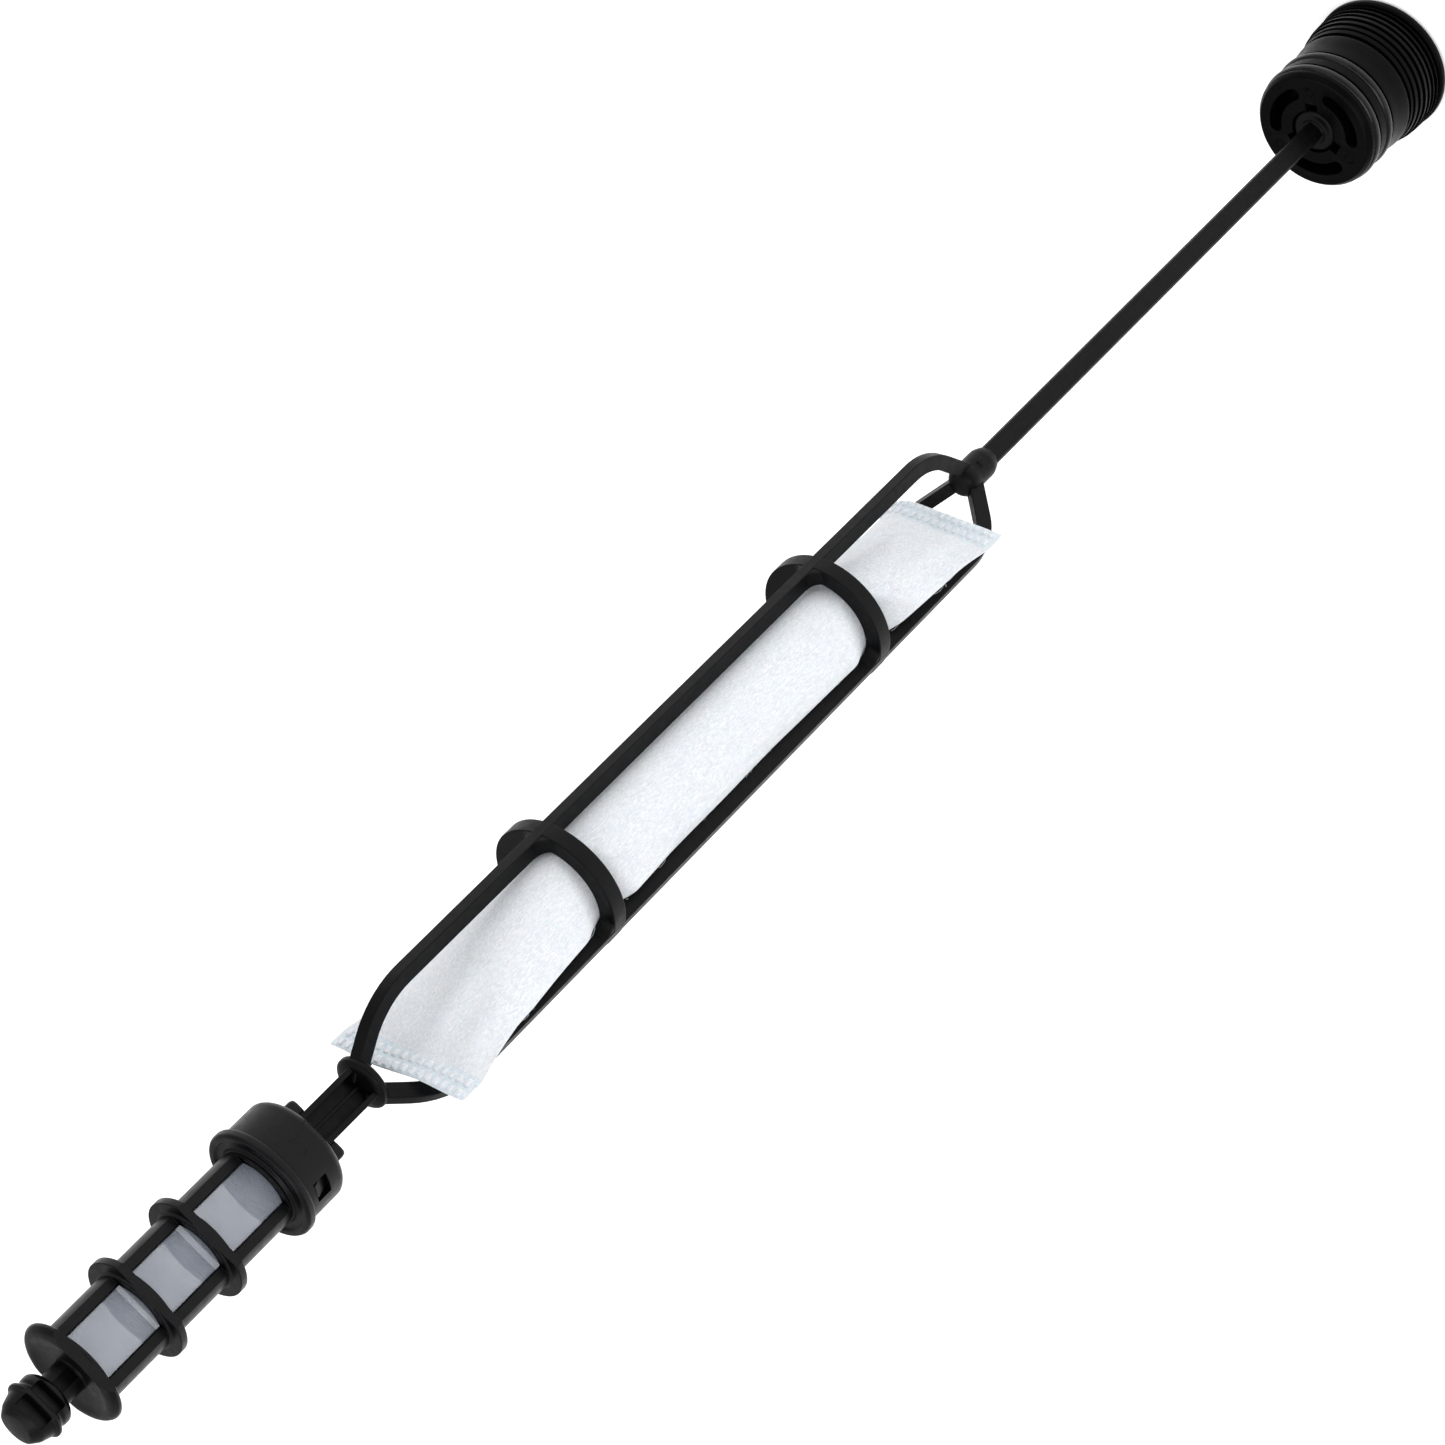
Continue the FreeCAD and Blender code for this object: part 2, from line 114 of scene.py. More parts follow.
def moulded_nylon(name, dark, pale, rough, swirl, gloss):
    """Glass-filled nylon 66, injection moulded in an eroded tool: near-black satin, greyed in soft patches
    where glass lies at the skin, with a fine leathery grain that breaks up its highlights."""
    finish, tree, shader = new_finish(name, IOR=1.53, Specular_IOR_Level=gloss)
    patches, specks = (
        add(tree, "ShaderNodeMapRange", {"Value": pattern, "From Min": low, "From Max": high}).outputs[0]
        for pattern, low, high in ((cloud(tree, swirl, 4.0, 0.8), 0.38, 0.68),
                                   (cloud(tree, 0.35, 2.0), 0.5, 0.75)))
    glass = add(tree, "ShaderNodeMath", {0: patches, 1: specks}, operation="MULTIPLY").outputs[0]
    tree.links.new(tinted(tree, glass, 0.0, 1.0, paint(dark), paint(pale), most=0.9),
                   shader.inputs["Base Color"])
    roughened(tree, shader, cloud(tree, 1.4, 3.0), rough - 0.05, rough + 0.08)
    # The eroded grain is 0.05 mm across; it is drawn at 0.3 mm, as fine as shows.
    grain = cloud(tree, 0.3, 3.0)
    sink = cloud(tree, 3.5, 1.0)
    relief = add(tree, "ShaderNodeBump", {"Height": grain, "Distance": 0.02 * MM, "Strength": 0.55})
    hollows = add(tree, "ShaderNodeBump", {"Height": sink, "Distance": 0.12 * MM, "Strength": 0.6,
                                           "Normal": relief.outputs[0]})
    tree.links.new(hollows.outputs[0], shader.inputs["Normal"])
    return finish


def oiled_rubber():
    """Nitrile rubber, compression moulded and oiled for fitting: black, glossy, with a faint smear."""
    finish, tree, shader = new_finish("nitrile_rubber_oiled", IOR=1.5, Coat_Weight=0.16, Coat_Roughness=0.1,
                                      Specular_IOR_Level=0.2)
    smear = cloud(tree, 2.2, 3.0, 0.6, (1, 1, 3))
    tree.links.new(tinted(tree, smear, 0.4, 0.7, paint("#060607"), paint("#111214")),
                   shader.inputs["Base Color"])
    roughened(tree, shader, smear, 0.2, 0.34)
    relief = add(tree, "ShaderNodeBump", {"Height": cloud(tree, 0.5, 2.0), "Distance": 0.02 * MM,
                                          "Strength": 0.5})
    tree.links.new(relief.outputs[0], shader.inputs["Normal"])
    return finish


def needled_felt():
    """Polyester non-woven, spun and needled: soft cool white, with crossed fibres, painted shade in the
    hollows between them, and cloudy thin spots.
    """
    finish, tree, shader = new_finish("polyester_felt_needled", Roughness=0.92, IOR=1.46, Sheen_Weight=0.25,
                                      Sheen_Roughness=0.5, Subsurface_Weight=0.12, Subsurface_Scale=0.6 * MM)
    # Fibres are 0.02 mm thick; they are drawn 0.16 mm thick and 2 mm long, in three directions.
    height = None
    for turn, slant in ((12, 0.9), (75, -0.8), (-48, 0.2)):
        place = add(tree, "ShaderNodeTexCoord").outputs["Object"]
        laid = add(tree, "ShaderNodeMapping", {"Vector": place, "Scale": (1.0, 1.0, 0.3),
                                               "Rotation": (math.radians(turn), slant, math.radians(turn))})
        strands = add(tree, "ShaderNodeTexNoise", {"Vector": laid.outputs[0], "Scale": per_mm(0.28),
                                                   "Detail": 2.0, "Distortion": 0.3}).outputs["Fac"]
        height = strands if height is None else add(
            tree, "ShaderNodeMath", {0: height, 1: strands}, operation="MAXIMUM").outputs[0]
    thin = cloud(tree, 2.6, 4.0, 0.4)
    # Painted shade: the felt is coloured greyer (#D7DCE2) where the fibre relief is low, as shade in the
    # hollows between fibres, and whiter on the raised fibres.
    fibres = tinted(tree, height, 0.5, 0.72, paint("#D7DCE2"), paint("#F3F5F7"))
    tree.links.new(tinted(tree, thin, 0.35, 0.7, fibres, paint("#E4E8EE"), most=0.5),
                   shader.inputs["Base Color"])
    matted = add(tree, "ShaderNodeBump", {"Height": height, "Distance": 0.09 * MM, "Strength": 0.7})
    lumps = add(tree, "ShaderNodeBump", {"Height": thin, "Distance": 0.25 * MM, "Strength": 0.5,
                                         "Normal": matted.outputs[0]})
    tree.links.new(lumps.outputs[0], shader.inputs["Normal"])
    return finish


def fused_felt():
    """The same felt pressed between hot bars: its fibres have melted to a smoother, bluer, glossier skin."""
    finish, tree, shader = new_finish("polyester_felt_fused", IOR=1.5, Subsurface_Weight=0.15,
                                      Subsurface_Scale=0.5 * MM)
    melt = cloud(tree, 0.5, 3.0, 0.5)
    tree.links.new(tinted(tree, melt, 0.35, 0.7, paint("#CFDAE2"), paint("#E2EAEF")),
                   shader.inputs["Base Color"])
    roughened(tree, shader, melt, 0.38, 0.6)
    relief = add(tree, "ShaderNodeBump", {"Height": melt, "Distance": 0.04 * MM, "Strength": 0.5})
    tree.links.new(relief.outputs[0], shader.inputs["Normal"])
    return finish


def woven_mesh():
    """Nylon monofilament cloth, woven and moulded in: a pale grey-blue film that shows what is behind it."""
    finish, tree, shader = new_finish("nylon_monofilament_mesh", IOR=1.5, Roughness=0.5, Alpha=0.44)
    along = add(tree, "ShaderNodeUVMap", uv_map="cloth").outputs[0]
    # Threads are 0.06 mm at a 0.12 mm pitch; they are drawn at a 0.3 mm pitch. A wave of scale 1 repeats
    # every tenth of pi units.
    lines = []
    for axis in ("X", "Y"):
        wave = add(tree, "ShaderNodeTexWave", {"Vector": along, "Scale": 0.314 * per_mm(0.3)},
                   wave_type="BANDS", bands_direction=axis)
        lines.append(wave.outputs["Fac"])
    threads = add(tree, "ShaderNodeMath", {0: lines[0], 1: lines[1]}, operation="MAXIMUM").outputs[0]
    slack = add(tree, "ShaderNodeTexNoise", {"Vector": along, "Scale": per_mm(7.0), "Detail": 1.0})
    film = tinted(tree, slack.outputs["Fac"], 0.35, 0.65, paint("#8F96A4"), paint("#A0A6B2"))
    tree.links.new(tinted(tree, threads, 0.0, 1.0, film, paint("#8890A0"), least=0.1, most=0.0),
                   shader.inputs["Base Color"])
    return finish


def sieve_beads():
    """Molecular sieve, rolled and fired: chalky buff clay."""
    finish, tree, shader = new_finish("molecular_sieve_fired", Roughness=0.9, IOR=1.55)
    tree.links.new(tinted(tree, cloud(tree, 1.6, 4.0), 0.35, 0.65, paint("#B79E78"), paint("#D8C6A4")),
                   shader.inputs["Base Color"])
    chalk = add(tree, "ShaderNodeBump", {"Height": cloud(tree, 0.3, 3.0), "Distance": 0.05 * MM})
    tree.links.new(chalk.outputs[0], shader.inputs["Normal"])
    return finish


FINISHES = {
    "plug_nylon": moulded_nylon("nylon_66_plug", "#040405", "#090A0C", 0.34, 2.4, 0.045),
    "carrier_nylon": moulded_nylon("nylon_66_carrier", "#050506", "#101113", 0.42, 3.0, 0.11),
    "filter_nylon": moulded_nylon("nylon_66_filter", "#050507", "#15171C", 0.36, 2.0, 0.15),
    "seal_rubber": oiled_rubber(),
    "bag_felt": needled_felt(),
    "bag_seal": fused_felt(),
    "mesh_nylon": woven_mesh(),
    "desiccant_beads": sieve_beads(),
}


# ---- shapes: bmeshes in millimetres ----

def eased(outline, ease, steps=3, closed=True):
    """Rounds an outline's corners. A corner is (r, z) or (r, z, its own easing); those on the axis stay."""
    points, count = [], len(outline)
    for i, corner in enumerate(outline):
        here = Vector(corner[:2])
        size = corner[2] if len(corner) > 2 else ease
        ends_open = not closed and i in (0, count - 1)
        if size <= 0 or ends_open or abs(here.x) < 1e-6:
            points.append(here)
            continue
        before, after = Vector(outline[i - 1][:2]) - here, Vector(outline[(i + 1) % count][:2]) - here
        reach = min(size, 0.45 * before.length, 0.45 * after.length)
        first, last = here + before.normalized() * reach, here + after.normalized() * reach
        for step in range(steps + 1):
            t = step / steps
            points.append(first * (1 - t) ** 2 + here * 2 * t * (1 - t) + last * t ** 2)
    return points


def eased_section(outline, ease, steps=3):
    """Rounds the corners of an (x, y) outline. It is taken aside first, since eased() spares the axis."""
    aside = 1000.0
    return [(x - aside, y) for x, y in eased([(x + aside, y) for x, y in outline], ease, steps)]


def lathe(bm, outline, steps=128, ease=0.15, centre=(0, 0)):
    """Turns a closed outline of (radius, station) corners about the axis."""
    rings = []
    for r, z in eased(outline, ease):
        if r < 1e-6:
            rings.append([bm.verts.new((centre[0], centre[1], z))])
        else:
            rings.append([bm.verts.new((centre[0] + r * math.cos(math.tau * i / steps),
                                        centre[1] + r * math.sin(math.tau * i / steps), z))
                          for i in range(steps)])
    for a, b in zip(rings, rings[1:] + rings[:1]):
        if len(a) == 1 and len(b) == 1:
            continue
        for i in range(steps):
            j = (i + 1) % steps
            corners = [a[i % len(a)], a[j % len(a)], b[j % len(b)], b[i % len(b)]]
            bm.faces.new(list(dict.fromkeys(corners)))
    return bm


def loft(bm, loops):
    """Joins equal loops of points into a closed bar with flat ends."""
    rings = [[bm.verts.new(p) for p in loop] for loop in loops]
    for a, b in zip(rings, rings[1:]):
        for i in range(len(a)):
            j = (i + 1) % len(a)
            bm.faces.new([a[i], a[j], b[j], b[i]])
    bm.faces.new(rings[0][::-1])
    bm.faces.new(rings[-1])
    return bm


def polar(r, degrees, z=0.0):
    return Vector((r * math.cos(math.radians(degrees)), r * math.sin(math.radians(degrees)), z))


def turned_about(points, degrees):
    spin = Matrix.Rotation(math.radians(degrees), 3, "Z")
    return [spin @ Vector(p) for p in points]


def section(width, depth, ease=0.3):
    """Rounded rectangle about the origin, as (x, y) points."""
    w, d = width / 2, depth / 2
    return eased_section([(-w, -d), (w, -d), (w, d), (-w, d)], ease)


def bar(bm, width, depth, low, high, degrees=0.0, at=(0, 0), ease=0.3, ends=0.15):
    """Upright bar of rounded-rectangle section, its two ends eased as well."""
    loops = []
    for z, shrink in ((low, ends), (low + ends, 0.0), (high - ends, 0.0), (high, ends)):
        outline = section(width - 2 * shrink, depth - 2 * shrink, ease)
        loops.append(turned_about([(x + at[0], y + at[1], z) for x, y in outline], degrees))
    return loft(bm, loops)


def clean(bm):
    bmesh.ops.remove_doubles(bm, verts=bm.verts, dist=1e-5)
    bmesh.ops.recalc_face_normals(bm, faces=bm.faces)
    return bm


def thing(name, bm, finish=None):
    """The bmesh as an object, in metres."""
    clean(bm)
    bmesh.ops.scale(bm, vec=(MM, MM, MM), verts=bm.verts)
    mesh = bpy.data.meshes.new(name)
    bm.to_mesh(mesh)
    bm.free()
    made = bpy.data.objects.new(name, mesh)
    bpy.context.collection.objects.link(made)
    if finish:
        mesh.materials.append(finish)
    return made


def settle(obj):
    """Bakes the object's modifiers into its mesh."""
    view = bpy.context.evaluated_depsgraph_get()
    baked = bpy.data.meshes.new_from_object(obj.evaluated_get(view), preserve_all_data_layers=True,
                                            depsgraph=view)
    obj.modifiers.clear()
    old, obj.data = obj.data, baked
    baked.name = obj.name
    bpy.data.meshes.remove(old)
    return obj


def cut(obj, *cutters):
    """Takes the cutters out of the object, one after another."""
    for cutter in cutters:
        tool = obj.modifiers.new("cut", "BOOLEAN")
        tool.operation, tool.solver, tool.object = "DIFFERENCE", "EXACT", cutter
        settle(obj)
        bpy.data.objects.remove(cutter)
    return obj


def soften(obj, width, angle=40.0):
    """Small rounds on the sharp edges that cutting left."""
    tool = obj.modifiers.new("soften", "BEVEL")
    tool.width, tool.segments, tool.limit_method = width * MM, 2, "ANGLE"
    tool.angle_limit, tool.use_clamp_overlap, tool.miter_outer = math.radians(angle), True, "MITER_ARC"
    return settle(obj)


def shade(obj, sharp=50.0):
    """Smooth shading that keeps flat faces flat."""
    for polygon in obj.data.polygons:
        polygon.use_smooth = True
    obj.data.set_sharp_from_angle(angle=math.radians(sharp))
    tool = obj.modifiers.new("weights", "WEIGHTED_NORMAL")
    tool.keep_sharp = True
    return settle(obj)


def fit(obj, body, slot, *nodes):
    """Seats a finished piece on its body in place of the CAD nodes."""
    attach(obj, body)
    if nodes:
        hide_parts(*nodes)
    return obj


# ---- geometry trees ----

def new_growth(name, lengths, counts=(), takes=None):
    """A geometry tree with its named inputs; returns it with those inputs, and with its lengths in metres."""
    tree = bpy.data.node_groups.new(name, "GeometryNodeTree")
    tree.interface.new_socket("Geometry", in_out="OUTPUT", socket_type="NodeSocketGeometry")
    if takes:
        tree.interface.new_socket(takes, in_out="INPUT", socket_type="NodeSocketGeometry")
    for label, value in (*lengths, *counts):
        kind = "NodeSocketInt" if isinstance(value, int) else "NodeSocketFloat"
        tree.interface.new_socket(label, in_out="INPUT", socket_type=kind).default_value = value
    tree.interface.new_socket("Finish", in_out="INPUT", socket_type="NodeSocketMaterial")
    given = add(tree, "NodeGroupInput").outputs
    metres = {label: add(tree, "ShaderNodeMath", {0: given[label], 1: MM}, operation="MULTIPLY").outputs[0]
              for label, _ in lengths}
    return tree, given, metres


def finished(tree, given, geometry, smooth=False):
    """Ends a geometry tree: real faces, in the finish that it is given."""
    real = add(tree, "GeometryNodeRealizeInstances", {"Geometry": geometry})
    last = add(tree, "GeometryNodeSetMaterial", {"Geometry": real.outputs[0], "Material": given["Finish"]})
    if smooth:
        last = add(tree, "GeometryNodeSetShadeSmooth", {"Geometry": last.outputs[0]})
    add(tree, "NodeGroupOutput", {0: last.outputs[0]})
    return tree


def grown(name, tree, finish, start=None):
    """Runs a geometry tree on a mesh and keeps the result as a plain mesh."""
    made = bpy.data.objects.new(name, start or bpy.data.meshes.new(name))
    bpy.context.collection.objects.link(made)
    tool = made.modifiers.new("grow", "NODES")
    tool.node_group = tree
    for item in tree.interface.items_tree:
        if item.item_type == "SOCKET" and item.in_out == "INPUT" and item.name == "Finish":
            tool[item.identifier] = finish
    return settle(made)


# ---- end plug ----

PLUG_FACE = 29.5
POCKET_TURNS, POCKET_SPAN, POCKET_DEPTH = (11, 131, 251), 66, 7


def kidney_cutter(middle):
    """Arc-shaped pocket, drafted, with a flared mouth."""
    bm = bmesh.new()
    loops = []
    floor, top = PLUG_FACE - POCKET_DEPTH, PLUG_FACE
    for z, grow in ((floor, -0.25), (floor + 0.3, -0.05), (top - 0.25, 0.0), (top, 0.25), (top + 0.5, 0.25)):
        r_in, r_out = 7.8 - grow, 10.3 + grow
        radius, ring_r, half = (r_out - r_in) / 2, (r_out + r_in) / 2, math.radians(POCKET_SPAN / 2)
        centre = math.radians(middle)
        loop = [polar(r_out, math.degrees(centre - half + 2 * half * i / 24), z) for i in range(25)]
        for i in range(1, 8):
            turn = centre + half + math.pi * i / 8
            loop.append(polar(ring_r, math.degrees(centre + half), z) + polar(radius, math.degrees(turn)))
        loop += [polar(r_in, math.degrees(centre + half - 2 * half * i / 24), z) for i in range(25)]
        for i in range(1, 8):
            turn = centre - half + math.pi + math.pi * i / 8
            loop.append(polar(ring_r, math.degrees(centre - half), z) + polar(radius, math.degrees(turn)))
        loops.append(loop)
    return thing("cutter", loft(bm, loops))


def notch_cutter(middle):
    """Square notch in the hub's mouth, with a flared edge."""
    bm = bmesh.new()
    loops = []
    for depth, grow in ((2.6, 0.0), (0.2, 0.0), (0.0, 0.2), (-0.5, 0.2)):
        z = PLUG_FACE - depth
        box = [(3.5, -1.3 - grow, z), (6.5 + grow, -1.3 - grow, z), (6.5 + grow, 1.3 + grow, z),
               (3.5, 1.3 + grow, z)]
        loops.append(turned_about(box, middle))
    return thing("cutter", loft(bm, loops))


def dimple_cutter(middle):
    """Shallow round mark that an ejector pin leaves."""
    bm = bmesh.new()
    dish = ((0, -0.32), (0.85, -0.3), (1.15, 0.02), (1.15, 0.4), (0, 0.4))
    lathe(bm, [(r, PLUG_FACE + z) for r, z in dish], 32, 0.08, polar(9.6, middle)[:2])
    return thing("cutter", bm)


def hex_cutter():
    """Drive socket for a hexagon key of 12 mm across flats, chamfered at its mouth."""
    bm = bmesh.new()
    corner = 12 / math.sqrt(3)
    loops = [[polar(corner + grow, 60 * side, z) for side in range(6)]
             for z, grow in ((-0.5, 0.5), (0.0, 0.5), (0.45, 0.0), (9.0, 0.0))]
    return thing("cutter", loft(bm, loops))


def thread_tree():
    """A ridge wound round the plug: its first turn to enter starts low and swells to full height."""
    tree, given, metres = new_growth(
        "thread_ridge", (("Radius", 14.55), ("Pitch", 1.5), ("Low station", 2.75), ("Ridge width", 1.24),
                         ("Crest width", 0.26), ("Ridge height", 0.95), ("Lead in", 0.85)), (("Turns", 6.6),))
    height = add(tree, "ShaderNodeMath", {0: metres["Pitch"], 1: given["Turns"]}, operation="MULTIPLY")
    helix = add(tree, "GeometryNodeCurveSpiral", {"Resolution": 96, "Rotations": given["Turns"],
                                                  "Start Radius": metres["Radius"],
                                                  "End Radius": metres["Radius"],
                                                  "Height": height.outputs[0]})
    along = add(tree, "GeometryNodeSplineParameter").outputs["Factor"]
    # The lead-in takes the ridge inward over the last part of the helix.
    late = add(tree, "ShaderNodeMapRange", {"Value": along, "From Min": 0.42, "From Max": 1.0},
               interpolation_type="SMOOTHSTEP").outputs[0]
    drop = add(tree, "ShaderNodeMath", {0: late, 1: metres["Lead in"]}, operation="MULTIPLY").outputs[0]
    inward = add(tree, "ShaderNodeMath", {0: drop, 1: -1.0}, operation="MULTIPLY").outputs[0]
    place = add(tree, "GeometryNodeInputPosition").outputs[0]
    flat = add(tree, "ShaderNodeVectorMath", {0: place, 1: (1, 1, 0)}, operation="MULTIPLY").outputs[0]
    outwards = add(tree, "ShaderNodeVectorMath", {0: flat}, operation="NORMALIZE").outputs[0]
    shift = add(tree, "ShaderNodeVectorMath", {0: outwards, "Scale": inward}, operation="SCALE").outputs[0]
    lift = add(tree, "ShaderNodeCombineXYZ", {"Z": metres["Low station"]}).outputs[0]
    move = add(tree, "ShaderNodeVectorMath", {0: shift, 1: lift}, operation="ADD").outputs[0]
    path = add(tree, "GeometryNodeSetPosition", {"Geometry": helix.outputs[0], "Offset": move})
    profile = add(tree, "GeometryNodeCurvePrimitiveQuadrilateral",
                  {"Height": metres["Ridge height"], "Bottom Width": metres["Ridge width"],
                   "Top Width": metres["Crest width"], "Offset": 0.0}, mode="TRAPEZOID")
    soft = add(tree, "GeometryNodeFilletCurve", {"Curve": profile.outputs[0], "Radius": 0.09 * MM,
                                                 "Count": 2}, mode="POLY")
    run_in = add(tree, "ShaderNodeMapRange", {"Value": along, "From Min": 0.0, "From Max": 0.04,
                                              "To Min": 0.15}).outputs[0]
    run_out = add(tree, "ShaderNodeMapRange", {"Value": along, "From Min": 0.95, "From Max": 1.0,
                                               "To Min": 1.0, "To Max": 0.15}).outputs[0]
    thin = add(tree, "ShaderNodeMath", {0: run_in, 1: run_out}, operation="MINIMUM")
    swept = add(tree, "GeometryNodeCurveToMesh",
                {"Curve": path.outputs[0], "Profile Curve": soft.outputs[0], "Scale": thin.outputs[0],
                 "Fill Caps": True})
    return finished(tree, given, swept.outputs[0])


def make_plug():
    nylon = FINISHES["plug_nylon"]
    outline = [(0, 0), (14.6, 0, 0.4), (15.3, 0.7, 0.4), (15.3, 1.8, 0.25), (15.0, 2.15), (14.0, 2.3, 0.2),
               (14.05, 3.2), (14.05, 8.0, 1.0), (13.4, 12.6, 0.3), (13.45, 13.1, 0.2), (13.95, 13.8, 0.3),
               (13.95, 14.4, 0.6), (13.6, 17.5, 1.0)]
    for station in GROOVE_STATIONS.values():
        outline += [(13.6, station - 1.35, 0.18), (11.65, station - 1.3, 0.25), (11.65, station + 1.3, 0.25),
                    (13.6, station + 1.35, 0.18)]
    outline += [(13.6, 28.3, 0.5), (12.7, PLUG_FACE, 0.35), (4.95, PLUG_FACE, 0.22), (4.95, 27.3),
                (2.55, 27.3, 0.2), (2.55, 25.0, 0.2), (3.7, 25.0), (3.7, 19.0), (0, 19.0)]
    bm = bmesh.new()
    lathe(bm, outline, 192, 0.12)
    plug = thing("plug_body_moulding", bm, nylon)
    cutters = [hex_cutter()]
    for turn in POCKET_TURNS:
        cutters += [kidney_cutter(turn), notch_cutter(turn + 60), dimple_cutter(turn + 60)]
    fit(shade(cut(plug, *cutters)), "plug", "plug_nylon", "plug_body")
    ridge = grown("plug_thread_ridge", thread_tree(), nylon)
    clean_ridge = bmesh.new()
    clean_ridge.from_mesh(ridge.data)
    bmesh.ops.recalc_face_normals(clean_ridge, faces=clean_ridge.faces)
    clean_ridge.to_mesh(ridge.data)
    clean_ridge.free()
    fit(shade(ridge, 60), "plug", "plug_nylon")
    for name, station in GROOVE_STATIONS.items():
        bm = bmesh.new()
        lathe(bm, [(12.82 + 1.17 * math.cos(a), station + 1.17 * math.sin(a), 0)
                   for a in (math.tau * i / 24 for i in range(24))], 160)
        fit(shade(thing(name + "_seal", bm, FINISHES["seal_rubber"]), 80), "plug", "seal_rubber", name)


# ---- rod and carrier ----

def make_rod():
    bm = bmesh.new()
    lathe(bm, [(0, 20.2), (1.9, 20.2), (3.3, 23.4), (3.3, 24.9), (2.5, 24.9), (2.5, 27.4), (4.65, 27.4),
               (4.65, 29.0, 0.35), (4.2, 29.3, 0.2), (2.9, 29.3, 0.3), (2.6, 30.0, 0.3), (0, 30.0)], 96)
    bar(bm, 4.0, 4.0, 29.0, 153.4, 0, ease=0.7)
    # A raised land down the middle of each side.
    for side in range(4):
        bar(bm, 0.5, 1.7, 30.4, 152.6, 90 * side, (1.88, 0), ease=0.12)
    fit(shade(thing("rod_moulding", bm, FINISHES["carrier_nylon"])), "insert", "carrier_nylon", "rod")


def make_hubs():
    nylon = FINISHES["carrier_nylon"]
    bm = bmesh.new()
    lathe(bm, [(0, 152.2), (2.3, 152.2), (2.6, 152.8, 0.3), (3.1, 154.2, 0.6), (3.1, 158.4, 0.5),
               (3.3, 159.4, 0.8), (3.3, 160.8, 0.9), (2.3, 162.2, 0.6), (0, 162.5)], 96)
    bar(bm, 1.5, 1.5, 155.6, 157.4, 0, (0.2, -2.5), 0.15)
    fit(shade(thing("upper_hub_moulding", bm, nylon)), "insert", "carrier_nylon", "upper_hub")
    bm = bmesh.new()
    lathe(bm, [(0, 336.3), (4.8, 336.3, 0.3), (5.2, 336.7, 0.3), (5.2, 337.7, 0.3), (4.5, 338.3, 0.4),
               (3.0, 338.9, 0.4), (0, 338.9)], 96)
    fit(shade(thing("lower_hub_moulding", bm, nylon)), "insert", "carrier_nylon", "lower_hub")


def rib_path():
    """The rib's middle line as (radius, station, tilt) from the upper hub to the lower one."""
    upright, root = RIB_MIDDLE_R, 1.6
    path = []
    for station, way, radius in ((159.6, 1, 13.0), (338.2, -1, 16.0)):
        reach = upright - 2.0
        tangent = radius * math.tan(math.radians(22.5))
        centre = (upright - radius, station + way * (reach + tangent))
        arc = [(centre[0] + radius * math.cos(math.radians(a)),
                centre[1] - way * radius * math.sin(math.radians(a)), way * a) for a in range(0, 46, 5)]
        slant = arc[-1][0] - root
        arc.append((root, arc[-1][1] - way * slant, way * 45))
        path.append(arc)
    return path[0][::-1] + path[1]


def make_ribs():
    outline = section(3.0, 2.4, 0.24)
    for name, angle in RIB_ANGLES.items():
        bm = bmesh.new()
        loops = []
        for r, z, tilt in rib_path():
            lean = math.radians(tilt)
            leaning = [(r + x * math.cos(lean), y, z - x * math.sin(lean)) for x, y in outline]
            loops.append(turned_about(leaning, angle))
        loft(bm, loops)
        fit(shade(thing(name + "_moulding", bm, FINISHES["carrier_nylon"])), "insert", "carrier_nylon", name)


def hoop_fillet(side, high, reach):
    """Concave fillet in the corner between a hoop and a rib, as (across, station) points."""
    foot, top = side * (1.1 + reach), high + 1.25 * reach
    curve = []
    for i in range(9):
        turn = math.radians(90 * i / 8)
        curve.append((foot - side * reach * math.sin(turn), top - 1.25 * reach * math.cos(turn)))
    return [(side * 0.4, high - 0.5), (foot, high - 0.5)] + curve + [(side * 0.4, top)]


def make_hoops():
    for name, station in HOOP_STATIONS.items():
        low, high = station - HOOP_HALF_WIDTH, station + HOOP_HALF_WIDTH
        bm = bmesh.new()
        lathe(bm, [(HOOP_INNER_R, low), (HOOP_OUTER_R, low), (HOOP_OUTER_R, high), (HOOP_INNER_R, high)],
              160, 0.3)
        for angle in RIB_ANGLES.values():
            for side in (-1, 1):
                loops = []
                for r, less in ((10.0, 0.25), (10.2, 0.0), (12.5, 0.0), (12.9, 0.5)):
                    flat = hoop_fillet(side, high - 0.05, 2.6 - less)
                    loops.append(turned_about([(math.sqrt(r * r - x * x), x, z) for x, z in flat], angle))
                loft(bm, loops)
        fit(shade(thing(name + "_moulding", bm, FINISHES["carrier_nylon"])), "insert", "carrier_nylon", name)


def make_stem():
    quarter = [(0.25, -1.4), (0.25, -0.6), (2.35, -0.6), (2.35, -3.0), (3.4, -3.0)]
    front = [(-x, y) for x, y in quarter[::-1]] + quarter
    outline = front + [(x, -y) for x, y in front[::-1]]
    outline = eased_section(outline, 0.14, 2)
    bm = bmesh.new()
    loft(bm, [[(x, y, z) for x, y in outline] for z in (337.6, 344.0, 352.4)])
    fit(shade(thing("stem_moulding", bm, FINISHES["carrier_nylon"])), "insert", "carrier_nylon", "stem")


# ---- desiccant bag ----

BAG_TURN, BAG_GIRTH, BAG_LENGTH, SEAL_WIDTH = 44.0, 62.4, 162.3, 4.8
BAG_AROUND, BAG_ALONG = 88, 152
BAG_PRESSURE, BAG_FRAMES, BAG_STIFF, BAG_SLACK = 20.0, 30, 40, 1.02
PLAY = 10  # the bag is inflated at ten times its size, where the cloth solver's steps suit it
# How far out the felt may go at a rib and at a hoop, and how far its beads have shaken down, and which way.
RIB_HOLD, HOOP_HOLD, BULGE, BULGE_TURN = 9.85, 9.55, 1.6, 209


